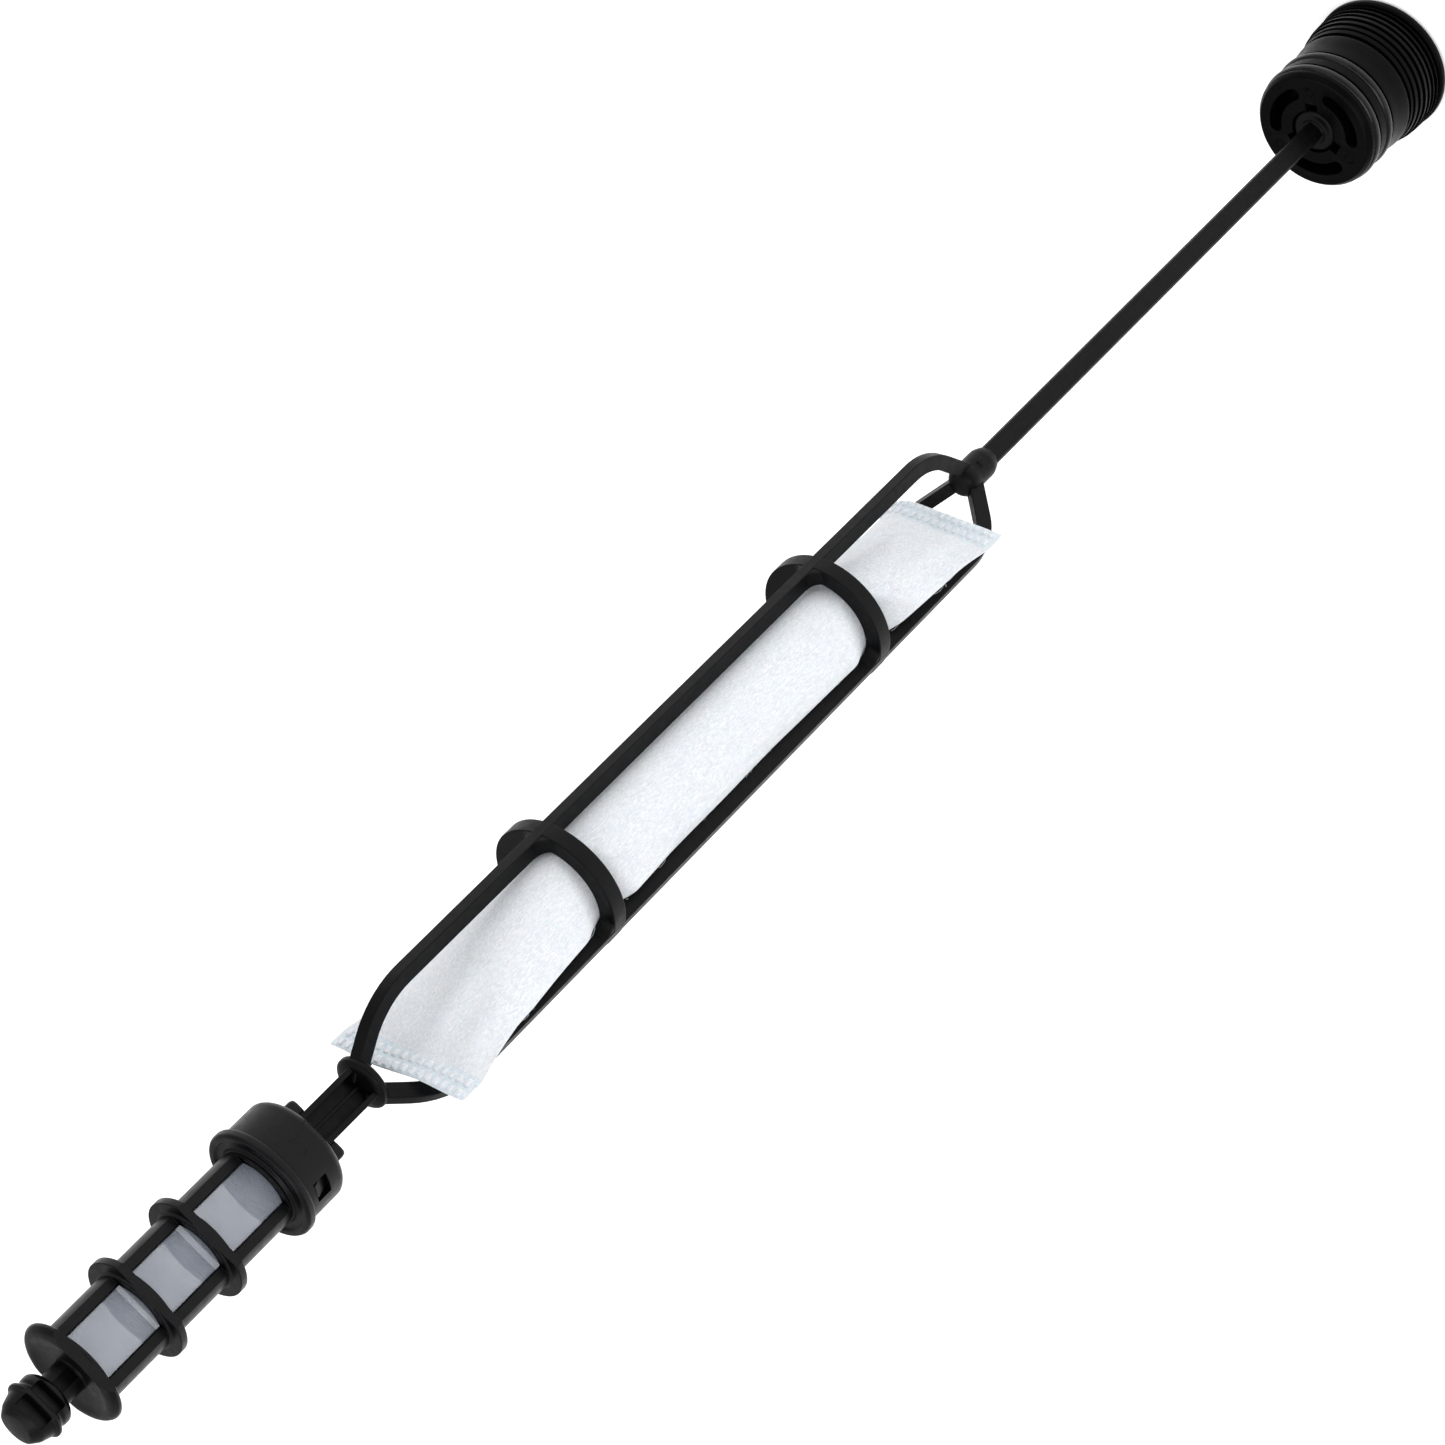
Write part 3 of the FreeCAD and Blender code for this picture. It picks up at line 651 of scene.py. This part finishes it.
def seal_point(u, upper):
    """Middle line of a seal in plan, at a distance u across the flat bag from its middle, and its normal."""
    along, back = polar(1, BAG_TURN), polar(1, BAG_TURN + 90)
    if not upper:
        return Vector((-2.6, -1.2, 0)) + along * u, back
    start = Vector((-1.1, -1.0, 0))
    flat, bend = 6.0, 10.0
    if u <= flat:
        return start + along * u, back
    turn = (u - flat) / bend
    at = start + along * (flat + bend * math.sin(turn)) + back * bend * (1 - math.cos(turn))
    return at, back * math.cos(turn) - along * math.sin(turn)


def seal_edge(u, upper):
    """Station of the bag's cut end."""
    return 170.2 - 1.8 * u / 15 if upper else 332.4 + 0.25 * math.sin(u / 3)


def bag_across(i):
    """Distance across the flat bag of the i-th thread, and the face it lies in."""
    half, s = BAG_GIRTH / 4, i / BAG_AROUND
    return (-half + BAG_GIRTH * s, -1) if s < 0.5 else (half - BAG_GIRTH * (s - 0.5), 1)


def bag_point(i, row):
    """Starting place of the cloth: flat at both seals, round between; and its distance from an end."""
    half, s = BAG_GIRTH / 4, i / BAG_AROUND
    u, front = bag_across(i)
    low, high = seal_edge(u, True), seal_edge(u, False)
    z = low + (high - low) * row / BAG_ALONG
    from_low, from_high = z - low, high - z
    upper = from_low < from_high
    distance = min(from_low, from_high)
    at, normal = seal_point(u, upper)
    gap = 0.28 if 0 < abs(half - abs(u)) else 0.0
    flat = at + normal * gap * front * min(1.0, 4 * (1 - abs(u) / half))
    turn = math.radians(BAG_TURN) + math.pi + math.tau * s
    round_place = Vector((9.5 * math.cos(turn), 9.5 * math.sin(turn), 0))
    share = max(0.0, min(1.0, (distance - SEAL_WIDTH) / 42))
    share = 1 - (1 - share) ** 1.7
    place = flat.lerp(round_place, share)
    return Vector((place.x, place.y, z)), distance


def felt_tube(place_at):
    """The bag's felt as a tube of squares, open at both ends; returns it with its rows of corners."""
    bm = bmesh.new()
    rows = [[bm.verts.new(place_at(i, row)) for i in range(BAG_AROUND)] for row in range(BAG_ALONG + 1)]
    for a, b in zip(rows, rows[1:]):
        for i in range(BAG_AROUND):
            j = (i + 1) % BAG_AROUND
            bm.faces.new([a[i], b[i], b[j], a[j]])
    return bm, rows


def bag_cloth():
    """The flat tube of felt, sealed at both ends and blown out to the girth that its beads fill."""
    bm, _ = felt_tube(lambda i, row: bag_point(i, row)[0] * PLAY * MM)
    pinned = [row * BAG_AROUND + i for row in range(BAG_ALONG + 1) for i in range(BAG_AROUND)
              if bag_point(i, row)[1] <= SEAL_WIDTH + 0.01]
    mesh = bpy.data.meshes.new("bag_cloth")
    bm.to_mesh(mesh)
    bm.free()
    cloth = bpy.data.objects.new("bag_cloth", mesh)
    bpy.context.collection.objects.link(cloth)
    # At rest the felt is a plain cylinder of its girth, a little longer than the gap between its seals.
    cloth.shape_key_add(name="Basis")
    rest = cloth.shape_key_add(name="cut_length")
    radius, length = BAG_GIRTH / math.tau, BAG_LENGTH * BAG_SLACK
    for row in range(BAG_ALONG + 1):
        for i in range(BAG_AROUND):
            turn = math.tau * i / BAG_AROUND
            rest.data[row * BAG_AROUND + i].co = Vector((radius * math.cos(turn), radius * math.sin(turn),
                                                         length * row / BAG_ALONG)) * PLAY * MM
    group = cloth.vertex_groups.new(name="seals")
    group.add(pinned, 1.0, "REPLACE")
    tool = cloth.modifiers.new("inflate", "CLOTH")
    felt = tool.settings
    felt.rest_shape_key = rest
    felt.vertex_group_mass = "seals"
    felt.pin_stiffness = 1.0
    felt.quality = 10
    felt.mass = 0.15
    felt.tension_stiffness = felt.compression_stiffness = BAG_STIFF
    felt.shear_stiffness = 12
    felt.bending_stiffness = 0.6
    felt.tension_damping = felt.compression_damping = 8
    felt.air_damping = 4.0
    felt.use_pressure = True
    felt.uniform_pressure_force = BAG_PRESSURE
    felt.effector_weights.gravity = 0.0
    tool.collision_settings.use_collision = False
    tool.point_cache.frame_start, tool.point_cache.frame_end = 1, BAG_FRAMES
    for step in range(1, BAG_FRAMES + 1):
        bpy.context.scene.frame_set(step)
    view = bpy.context.evaluated_depsgraph_get()
    blown = bpy.data.meshes.new_from_object(cloth.evaluated_get(view), depsgraph=view)
    cloth.modifiers.clear()
    cloth.shape_key_clear()
    cloth.data = blown
    bpy.context.scene.frame_set(1)
    return cloth


def rounded_in(place, start, distance, front):
    """Where the beads, ribs, hoops and the bag's other face let a point of the blown cloth go."""
    reach = 0.9 + 3.0 * math.exp(-((distance - 13) / 11) ** 2)
    move = place - start
    outward = polar(front, BAG_TURN + 90)
    move -= outward * min(0.0, move.dot(outward))
    if move.length > 1e-6:
        move *= reach * math.tanh(move.length / reach) / move.length
    held = start + move
    # The beads have shaken down towards the gap between rib_c and rib_a, and bulge the felt out there.
    clear = min(distance / 24, 1.0)
    held += polar(BULGE, BULGE_TURN) * clear ** 2 * (3 - 2 * clear)
    r, turn = math.hypot(held.x, held.y), math.degrees(math.atan2(held.y, held.x))
    limit = 99.0
    for angle in RIB_ANGLES.values():
        off = abs((turn - angle + 180) % 360 - 180)
        if off < 16:
            eased_out = 0.5 * max(0.0, 186 - held.z, held.z - 308)
            limit = min(limit, RIB_HOLD + 2.3 * max(0.0, (off - 6.5) / 8) + eased_out)
    for station in HOOP_STATIONS.values():
        limit = min(limit, HOOP_HOLD + 1.5 * max(0.0, (abs(held.z - station) - 1.7) / 4) ** 1.3)
    if r > limit:
        held.x, held.y = held.x * limit / r, held.y * limit / r
    return held


def pucker(i, distance, upper):
    """Short folds that run out of a seal, where the wide flat felt has to gather into a round tube."""
    u, front = bag_across(i)
    depth = 0.42 * math.exp(-((distance - 13) / 6) ** 2) * math.sqrt(max(0.0, 1 - 4 * abs(u) / BAG_GIRTH))
    return polar(depth * front, BAG_TURN + 90) * math.sin(math.tau * u / 8.5 + (0.6 if upper else 2.4))


def make_bag():
    cloth = bag_cloth()
    blown = [v.co / (PLAY * MM) for v in cloth.data.vertices]
    bpy.data.objects.remove(cloth)

    def place_at(i, row):
        start, distance = bag_point(i, row)
        held = rounded_in(blown[row * BAG_AROUND + i], start, distance, bag_across(i)[1])
        return held + pucker(i, distance, row < BAG_ALONG / 2)

    bm, rows = felt_tube(place_at)
    for ring in (rows[0], rows[-1]):
        for i in range(BAG_AROUND // 2):
            corners = [ring[i], ring[i + 1], ring[-1 - i], ring[-i]]
            bm.faces.new(list(dict.fromkeys(corners)))
    bag = thing("desiccant_bag_felt", bm, FINISHES["bag_felt"])
    bag.data.materials.append(FINISHES["bag_seal"])
    for polygon in bag.data.polygons:
        z = polygon.center.z / MM
        u = polygon.center.xy.dot(polar(1, BAG_TURN).xy) / MM
        sealed = z < seal_edge(u + 1.5, True) + SEAL_WIDTH or z > seal_edge(0, False) - SEAL_WIDTH
        polygon.material_index = int(sealed)
    tool = bag.modifiers.new("finer", "SUBSURF")
    tool.levels = tool.render_levels = 1
    settle(bag)
    for polygon in bag.data.polygons:
        polygon.use_smooth = True
    crimps = [make_crimps("upper_seal_crimps", True), make_crimps("lower_seal_crimps", False)]
    fibres = grown("bag_loose_fibres", fibre_tree(), FINISHES["bag_felt"], bag.data.copy())
    fit(bag, "insert", "bag_felt", "desiccant_bag")
    for piece in crimps + [fibres]:
        fit(piece, "insert", "bag_felt")


def crimp_tree():
    """Two rows of small pads, pressed up along the middle line of a seal on both of its faces."""
    tree, given, metres = new_growth(
        "seal_crimps", (("Pad width", 1.05), ("Pad length", 1.6), ("Pad thickness", 1.05),
                        ("Row pitch", 2.4)), (("Pads", 16),), "Seal line")
    line = add(tree, "GeometryNodeMeshToCurve", {0: given["Seal line"]})
    spots = add(tree, "GeometryNodeCurveToPoints", {"Curve": line.outputs[0], "Count": given["Pads"]})
    size = add(tree, "ShaderNodeCombineXYZ", {"X": metres["Pad width"], "Y": metres["Pad thickness"],
                                              "Z": metres["Pad length"]})
    block = add(tree, "GeometryNodeMeshCube", {"Size": size.outputs[0]})
    soft = add(tree, "GeometryNodeSubdivisionSurface", {"Mesh": block.outputs[0], "Level": 2,
                                                        "Edge Crease": 0.72})
    facing = add(tree, "FunctionNodeAxesToRotation", {"Primary Axis": (0, 0, 1),
                                                      "Secondary Axis": spots.outputs["Tangent"]},
                 primary_axis="Z", secondary_axis="X")
    pads = add(tree, "GeometryNodeInstanceOnPoints", {"Points": spots.outputs["Points"],
                                                      "Instance": soft.outputs[0],
                                                      "Rotation": facing.outputs[0]})
    both = add(tree, "GeometryNodeJoinGeometry")
    for way in (0.5, -0.5):
        rise = add(tree, "ShaderNodeMath", {0: metres["Row pitch"], 1: way}, operation="MULTIPLY")
        lift = add(tree, "ShaderNodeCombineXYZ", {"Z": rise.outputs[0]})
        row = add(tree, "GeometryNodeTransform", {"Geometry": pads.outputs[0],
                                                  "Translation": lift.outputs[0]})
        tree.links.new(row.outputs[0], both.inputs[0])
    return finished(tree, given, both.outputs[0], smooth=True)


def make_crimps(name, upper):
    line = bpy.data.meshes.new(name)
    spots = []
    for i in range(31):
        u = -13.6 + 27.2 * i / 30
        at, _ = seal_point(u, upper)
        inward = SEAL_WIDTH / 2 if upper else -SEAL_WIDTH / 2
        spots.append(Vector((at.x, at.y, seal_edge(u, upper) + inward)) * MM)
    line.from_pydata(spots, [(i, i + 1) for i in range(30)], [])
    return grown(name, crimp_tree(), FINISHES["bag_felt"], line)


def fibre_tree():
    """Loose ends of fibre that stand off the felt, each a short bow."""
    tree, given, metres = new_growth("loose_fibres", (("Length", 2.6), ("Thickness", 0.05), ("Rise", 0.5)),
                                     (("Per square mm", 0.085),), "Felt")
    crowd = add(tree, "ShaderNodeMath", {0: given["Per square mm"], 1: MM ** -2}, operation="MULTIPLY")
    spots = add(tree, "GeometryNodeDistributePointsOnFaces",
                {"Mesh": given["Felt"], "Density": crowd.outputs[0], "Seed": 4})
    stretch = add(tree, "ShaderNodeCombineXYZ", {"X": metres["Length"], "Z": metres["Rise"]}).outputs[0]
    start, end, top = (add(tree, "ShaderNodeVectorMath", {0: stretch, 1: (x, 0, z)},
                           operation="MULTIPLY").outputs[0]
                       for x, z in ((-0.5, -0.1), (0.5, 0.25), (0.0, 1.3)))
    bow = add(tree, "GeometryNodeCurveQuadraticBezier", {"Resolution": 6, "Start": start, "Middle": top,
                                                         "End": end})
    half = add(tree, "ShaderNodeMath", {0: metres["Thickness"], 1: 0.5}, operation="MULTIPLY")
    ring = add(tree, "GeometryNodeCurvePrimitiveCircle", {"Resolution": 3, "Radius": half.outputs[0]})
    hair = add(tree, "GeometryNodeCurveToMesh", {"Curve": bow.outputs[0], "Profile Curve": ring.outputs[0],
                                                 "Fill Caps": True})
    spin = add(tree, "FunctionNodeRandomValue", {2: 0.0, 3: math.tau, "Seed": 7}, data_type="FLOAT")
    about = add(tree, "ShaderNodeCombineXYZ", {"Z": spin.outputs[1]})
    facing = add(tree, "FunctionNodeRotateRotation", {"Rotation": spots.outputs["Rotation"],
                                                      "Rotate By": about.outputs[0]}, rotation_space="LOCAL")
    size = add(tree, "FunctionNodeRandomValue", {2: 0.45, 3: 1.25, "Seed": 9}, data_type="FLOAT")
    hairs = add(tree, "GeometryNodeInstanceOnPoints", {"Points": spots.outputs["Points"],
                                                       "Instance": hair.outputs[0],
                                                       "Rotation": facing.outputs[0],
                                                       "Scale": size.outputs[1]})
    return finished(tree, given, hairs.outputs[0])


def bead_tree():
    """A bead at each place, a little under its full size."""
    tree, given, metres = new_growth("bead_pack", (("Bead radius", 1.45),), takes="Places")
    spots = add(tree, "GeometryNodeMeshToPoints", {"Mesh": given["Places"]})
    bead = add(tree, "GeometryNodeMeshIcoSphere", {"Radius": metres["Bead radius"], "Subdivisions": 2})
    size = add(tree, "FunctionNodeRandomValue", {2: 0.86, 3: 1.0, "Seed": 3}, data_type="FLOAT")
    packed = add(tree, "GeometryNodeInstanceOnPoints",
                 {"Points": spots.outputs[0], "Instance": bead.outputs[0], "Scale": size.outputs[1]})
    return finished(tree, given, packed.outputs[0], smooth=True)


def make_beads():
    """Close-packed places inside the bag's round part."""
    pitch, places, felt = 2.95, [], bpy.data.objects["desiccant_bag_felt"]
    for layer in range(48):
        z = 188.0 + layer * pitch * math.sqrt(2 / 3)
        shift = (0.0, pitch / 2)[layer % 2]
        for row in range(-4, 5):
            for column in range(-4, 5):
                x = column * pitch + (row % 2) * pitch / 2 + shift
                y = row * pitch * math.sqrt(3) / 2 + shift / math.sqrt(3)
                place = Vector((x, y, z)) * MM
                _, nearest, outward, _ = felt.closest_point_on_mesh(place)
                room = (nearest - place).dot(outward)
                if math.hypot(x, y) < 6.8 and 190 < z < 312 and room > 1.9 * MM:
                    places.append(place)
    mesh = bpy.data.meshes.new("bead_places")
    mesh.from_pydata(places, [], [])
    fit(grown("desiccant_bead_pack", bead_tree(), FINISHES["desiccant_beads"], mesh), "insert",
        "desiccant_beads", "desiccant_charge")


# ---- filter ----

def window_cutter(half, y_in, y_out, low, high):
    """A window's flat cut across one side of the barrel, its corners rounded."""
    bm = bmesh.new()
    outline = eased_section([(-half, low), (half, low), (half, high), (-half, high)], 0.5, 4)
    loft(bm, [[(x, y, z) for x, z in outline] for y in (y_in, y_out)])
    return thing("cutter", bm)


def latch_window_cutter(angle):
    """Window in the cap's wall that one of the cage's barbs snaps into."""
    bm = bmesh.new()
    loops = []
    for r, grow in ((7.9, 0.0), (9.75, 0.0), (9.95, 0.15), (11.0, 0.15)):
        w = 2.0 + grow
        loops.append(turned_about([(r, -w, 356.7 - grow), (r, w, 356.7 - grow), (r, w, 359.7 + grow),
                                   (r, -w, 359.7 + grow)], angle))
    return thing("cutter", loft(bm, loops))


def make_cap():
    bm = bmesh.new()
    lathe(bm, [(0, 351.4), (5.3, 351.4, 0.3), (5.7, 351.8, 0.3), (5.7, 352.9, 0.3), (9.0, 352.9, 0.5),
               (9.9, 353.9, 0.9), (9.9, 361.15, 0.15), (8.7, 361.15), (8.7, 354.6, 0.4), (8.2, 354.0, 0.3),
               (0, 354.0)], 160)
    cap = thing("filter_cap_moulding", bm, FINISHES["filter_nylon"])
    cut(cap, *(latch_window_cutter(angle) for angle in LATCH_ANGLES))
    # Two ears that hold the stem, and the low saddle lines left by the mould's slides.
    extras = bmesh.new()
    for side in (1, -1):
        loops = []
        for z, less in ((348.6, 0.9), (348.9, 0.35), (349.5, 0.0), (351.4, 0.0), (352.6, 0.3), (353.2, 1.0)):
            outline = section(3.4 - 0.6 * less, 3.2 - less, 0.9)
            loops.append([(side * 4.55 + x, y, z) for x, y in outline])
        loft(extras, loops)
        for turn in (-1, 1):
            spine = [(9.78, 270 * side + turn * a, z) for a, z in
                     ((13, 353.4), (12, 354.4), (8.5, 355.6), (7.5, 356.8), (9.5, 358.0))]
            rings = []
            for i, (r, a, z) in enumerate(spine):
                w = 0.05 if i in (0, 4) else 0.3
                rings.append([polar(r - 0.3, a - w * 5, z), polar(r + 0.17, a - w * 3, z),
                              polar(r + 0.2, a, z), polar(r + 0.17, a + w * 3, z),
                              polar(r - 0.3, a + w * 5, z)])
            loft(extras, rings)
    fit(shade(thing("cap_ears_and_saddles", extras, FINISHES["filter_nylon"])), "insert", "filter_nylon")
    fit(shade(cap), "insert", "filter_nylon", "filter_cap")


def side_flats(low, high):
    """Cutters that take a ring flush with the barrel on its two window sides."""
    made = []
    for side in (1, -1):
        bm = bmesh.new()
        loft(bm, [[(x, side * y, z) for x, z in ((-12, low), (12, low), (12, high), (-12, high))]
                  for y in (RING_FLAT, 12)])
        made.append(thing("cutter", bm))
    return made


def make_cage():
    nylon = FINISHES["filter_nylon"]
    bm = bmesh.new()
    lathe(bm, [(6.15, 354.0), (8.6, 354.0), (8.6, 361.2, 0.0), (7.5, 361.2, 0.0), (7.5, 405.7),
               (6.15, 405.7)], 160)
    cage = thing("filter_cage_moulding", bm, nylon)
    cutters = []
    for low, high in WINDOWS:
        cutters += [window_cutter(8.5, -9, -BARREL_FLAT, low, high),
                    window_cutter(8.5, BARREL_FLAT, 9, low, high)]
    cut(cage, *cutters)
    soften(cage, 0.18)
    barbs = bmesh.new()
    for angle in LATCH_ANGLES:
        loops = []
        for y, inset in ((-1.3, 0.12), (-1.15, 0.0), (1.15, 0.0), (1.3, 0.12)):
            side = [(8.1, 356.8), (8.8 - inset, 356.8), (9.6 - inset, 359.2), (9.6 - inset, 359.5 - inset),
                    (8.1, 359.5)]
            loops.append(turned_about([(r, y, z) for r, z in side], angle))
        loft(barbs, loops)
    fit(shade(thing("cap_latch_barbs", barbs, nylon)), "insert", "filter_nylon")
    fit(shade(cage), "insert", "filter_nylon", "filter_cage")

    bm = bmesh.new()
    lathe(bm, [(7.3, 361.25), (10.4, 361.25, 0.2), (10.75, 361.6, 0.25), (10.75, 362.7, 0.25),
               (10.4, 363.2, 0.2), (9.4, 363.2, 0.15), (9.05, 362.75, 0.15), (7.9, 362.75, 0.2),
               (7.6, 363.4, 0.3), (7.3, 363.4)], 160)
    fit(shade(thing("seal_flange_moulding", bm, nylon)), "insert", "filter_nylon", "seal_flange")
    for name, station in RING_STATIONS.items():
        bm = bmesh.new()
        low, high = station - 0.75, station + 0.75
        lathe(bm, [(7.0, low - 0.35), (7.6, low - 0.3, 0.2), (7.9, low, 0.3), (9.8, low), (9.8, high),
                   (7.9, high, 0.3), (7.6, high + 0.3, 0.2), (7.0, high + 0.35)], 160, 0.22)
        ring = cut(thing(name + "_moulding", bm, nylon), *side_flats(low - 1, high + 1))
        fit(shade(ring), "insert", "filter_nylon", name)
    bm = bmesh.new()
    lathe(bm, [(0, 405.4), (6.9, 405.2), (7.6, 405.2, 0.3), (7.9, 405.6, 0.4), (9.4, 405.6),
               (9.8, 405.9, 0.2), (9.8, 406.5, 0.3), (9.2, 407.3, 0.6), (8.0, 407.65, 0.6), (6.6, 407.1, 0.8),
               (3.4, 406.7, 0.5), (0, 406.7)], 160)
    flange = cut(thing("end_flange_moulding", bm, nylon), *side_flats(404, 409))
    fit(shade(flange), "insert", "filter_nylon", "end_flange")


def make_mesh():
    steps, low, high, r = 192, 361.3, 405.5, 5.98
    bm = bmesh.new()
    cloth = bm.loops.layers.uv.new("cloth")
    rows = [low + (high - low) * i / 12 for i in range(13)]
    walls = []
    for wall in (r, r - 0.12):
        walls.append([[bm.verts.new(polar(wall, 360 * i / steps, z)) for i in range(steps)] for z in rows])
    for wall in walls:
        for j in range(len(rows) - 1):
            for i in range(steps):
                k = (i + 1) % steps
                face = bm.faces.new([wall[j][i], wall[j][k], wall[j + 1][k], wall[j + 1][i]])
                for loop, (u, v) in zip(face.loops, ((i, j), (i + 1, j), (i + 1, j + 1), (i, j + 1))):
                    loop[cloth].uv = (math.tau * r * MM * u / steps, rows[v] * MM)
    for j in (0, -1):
        for i in range(steps):
            k = (i + 1) % steps
            bm.faces.new([walls[0][j][i], walls[0][j][k], walls[1][j][k], walls[1][j][i]])
    fit(shade(thing("filter_mesh_cloth", bm, FINISHES["mesh_nylon"]), 80), "insert", "mesh_nylon",
        "filter_mesh")


def nose_pocket_cutter(side, low, high):
    """Pocket that cores out the nose on one of its flats, with a flared mouth."""
    bm = bmesh.new()
    loops = []
    for y, grow in ((2.2, -0.15), (4.0, 0.0), (4.25, 0.15), (6.0, 0.15)):
        w = 2.85 + grow
        outline = eased_section([(-w, low - grow), (w, low - grow), (w, high + grow), (-w, high + grow)],
                                0.35, 2)
        loops.append([(x, side * y, z) for x, z in outline])
    return thing("cutter", loft(bm, loops))


def nose_flat_cutter(side):
    """Takes the nose flat on one side and slopes that flat in towards the tip."""
    bm = bmesh.new()
    outline = [(4.25, 409.0), (4.25, 417.8), (3.2, 419.4), (9.0, 419.4), (9.0, 409.0)]
    loft(bm, [[(x, side * y, z) for y, z in outline] for x in (-9, 9)])
    return thing("cutter", bm)


def make_nose():
    nylon = FINISHES["filter_nylon"]
    bm = bmesh.new()
    lathe(bm, [(0, 406.5), (3.3, 406.5), (3.05, 407.0, 0.2), (3.0, 411.8), (0, 411.8)], 96)
    neck = thing("guide_neck_moulding", bm, nylon)
    cutters = []
    for side in (1, -1):
        slot = bmesh.new()
        corners = ((-1.15, 407.2), (1.15, 407.2), (1.15, 411.4), (-1.15, 411.4))
        loft(slot, [[(x, side * y, z) for x, z in corners] for y in (1.5, 5.0)])
        cutters.append(thing("cutter", slot))
    fit(shade(soften(cut(neck, *cutters), 0.12)), "insert", "filter_nylon", "guide_neck")
    bm = bmesh.new()
    lathe(bm, [(0, 411.0), (3.9, 411.0, 0.3), (4.85, 411.9, 0.4), (4.85, 413.0, 0.4), (4.6, 413.6, 0.3),
               (4.75, 414.0, 0.2), (5.4, 414.45, 0.15), (5.4, 414.95, 0.15), (4.8, 415.4, 0.3),
               (4.15, 417.5, 0.4), (3.1, 418.9, 0.3), (0, 419.1)], 96)
    nose = thing("guide_nose_moulding", bm, nylon)
    cutters = [nose_flat_cutter(1), nose_flat_cutter(-1)]
    cutters += [nose_pocket_cutter(side, low, high) for side in (1, -1)
                for low, high in ((412.1, 414.2), (415.1, 417.6))]
    fit(shade(soften(cut(nose, *cutters), 0.12)), "insert", "filter_nylon", "guide_nose")


# ---- studio ----

def make_studio():
    bm = bmesh.new()
    bmesh.ops.create_grid(bm, x_segments=8, y_segments=8, size=4.0)
    floor_mesh = bpy.data.meshes.new("studio_floor")
    bm.to_mesh(floor_mesh)
    bm.free()
    floor = bpy.data.objects.new("studio_floor", floor_mesh)
    bpy.context.collection.objects.link(floor)
    paper, tree, shader = new_finish("backdrop_paper", Roughness=0.9, Specular_IOR_Level=0.1,
                                     Emission_Color=paint("#FFFFFF"), Emission_Strength=0.3)
    tree.links.new(tinted(tree, cloud(tree, 40, 2.0), 0.3, 0.7, paint("#FBFBFB"), paint("#FFFFFF")),
                   shader.inputs["Base Color"])
    floor_mesh.materials.append(paper)

    world = bpy.data.worlds.new("studio_air")
    bpy.context.scene.world = world
    world.use_nodes = True
    air = world.node_tree.nodes["Background"]
    air.inputs["Color"].default_value = paint("#FFFFFF")
    air.inputs["Strength"].default_value = 0.5
    middle = Vector((0, 0, 0.21))
    for name, spot, size, power in (("softbox_key", (-0.75, -1.0, 1.25), 0.9, 6.0),
                                    ("softbox_fill", (1.1, -0.8, 0.6), 0.9, 1.5)):
        lamp = bpy.data.lights.new(name, "AREA")
        lamp.shape, lamp.size, lamp.energy = "SQUARE", size, power
        placed = bpy.data.objects.new(name, lamp)
        placed.location = spot
        placed.rotation_euler = (middle - Vector(spot)).to_track_quat("-Z", "Y").to_euler()
        bpy.context.collection.objects.link(placed)
    # A broad ceiling panel far overhead: it falls evenly on the floor and only grazes upright faces.
    ceiling = bpy.data.lights.new("ceiling_panel", "SUN")
    ceiling.energy, ceiling.angle = 1.6, math.radians(70)
    bpy.context.collection.objects.link(bpy.data.objects.new("ceiling_panel", ceiling))


CAMERA_TIP, CAMERA_DISTANCE, AIM_HEIGHT, FOCAL_LENGTH = 33, 0.664, 0.2377, 92.63


def make_camera():
    """Looks down on the cartridge at CAMERA_TIP degrees, rolled an eighth of a turn."""
    tip = math.radians(CAMERA_TIP)
    back = Vector((0, -math.cos(tip), math.sin(tip)))
    along, across = Vector((0, -math.sin(tip), -math.cos(tip))), Vector((1, 0, 0))
    right, up = (along - across).normalized(), (along + across).normalized()
    lens = bpy.data.cameras.new("camera")
    lens.lens, lens.sensor_width = FOCAL_LENGTH, 36.0
    lens.clip_start, lens.clip_end = 0.01, 20.0
    camera = bpy.data.objects.new("camera", lens)
    place = Matrix((right, up, back)).transposed().to_4x4()
    place.translation = Vector((0, 0, AIM_HEIGHT)) + CAMERA_DISTANCE * back
    camera.matrix_world = place
    bpy.context.collection.objects.link(camera)
    bpy.context.scene.camera = camera
    bpy.context.scene.view_settings.view_transform = "Standard"


make_camera()
make_studio()
make_plug()
make_rod()
make_hubs()
make_ribs()
make_hoops()
make_stem()
make_bag()
make_beads()
make_cap()
make_cage()
make_mesh()
make_nose()
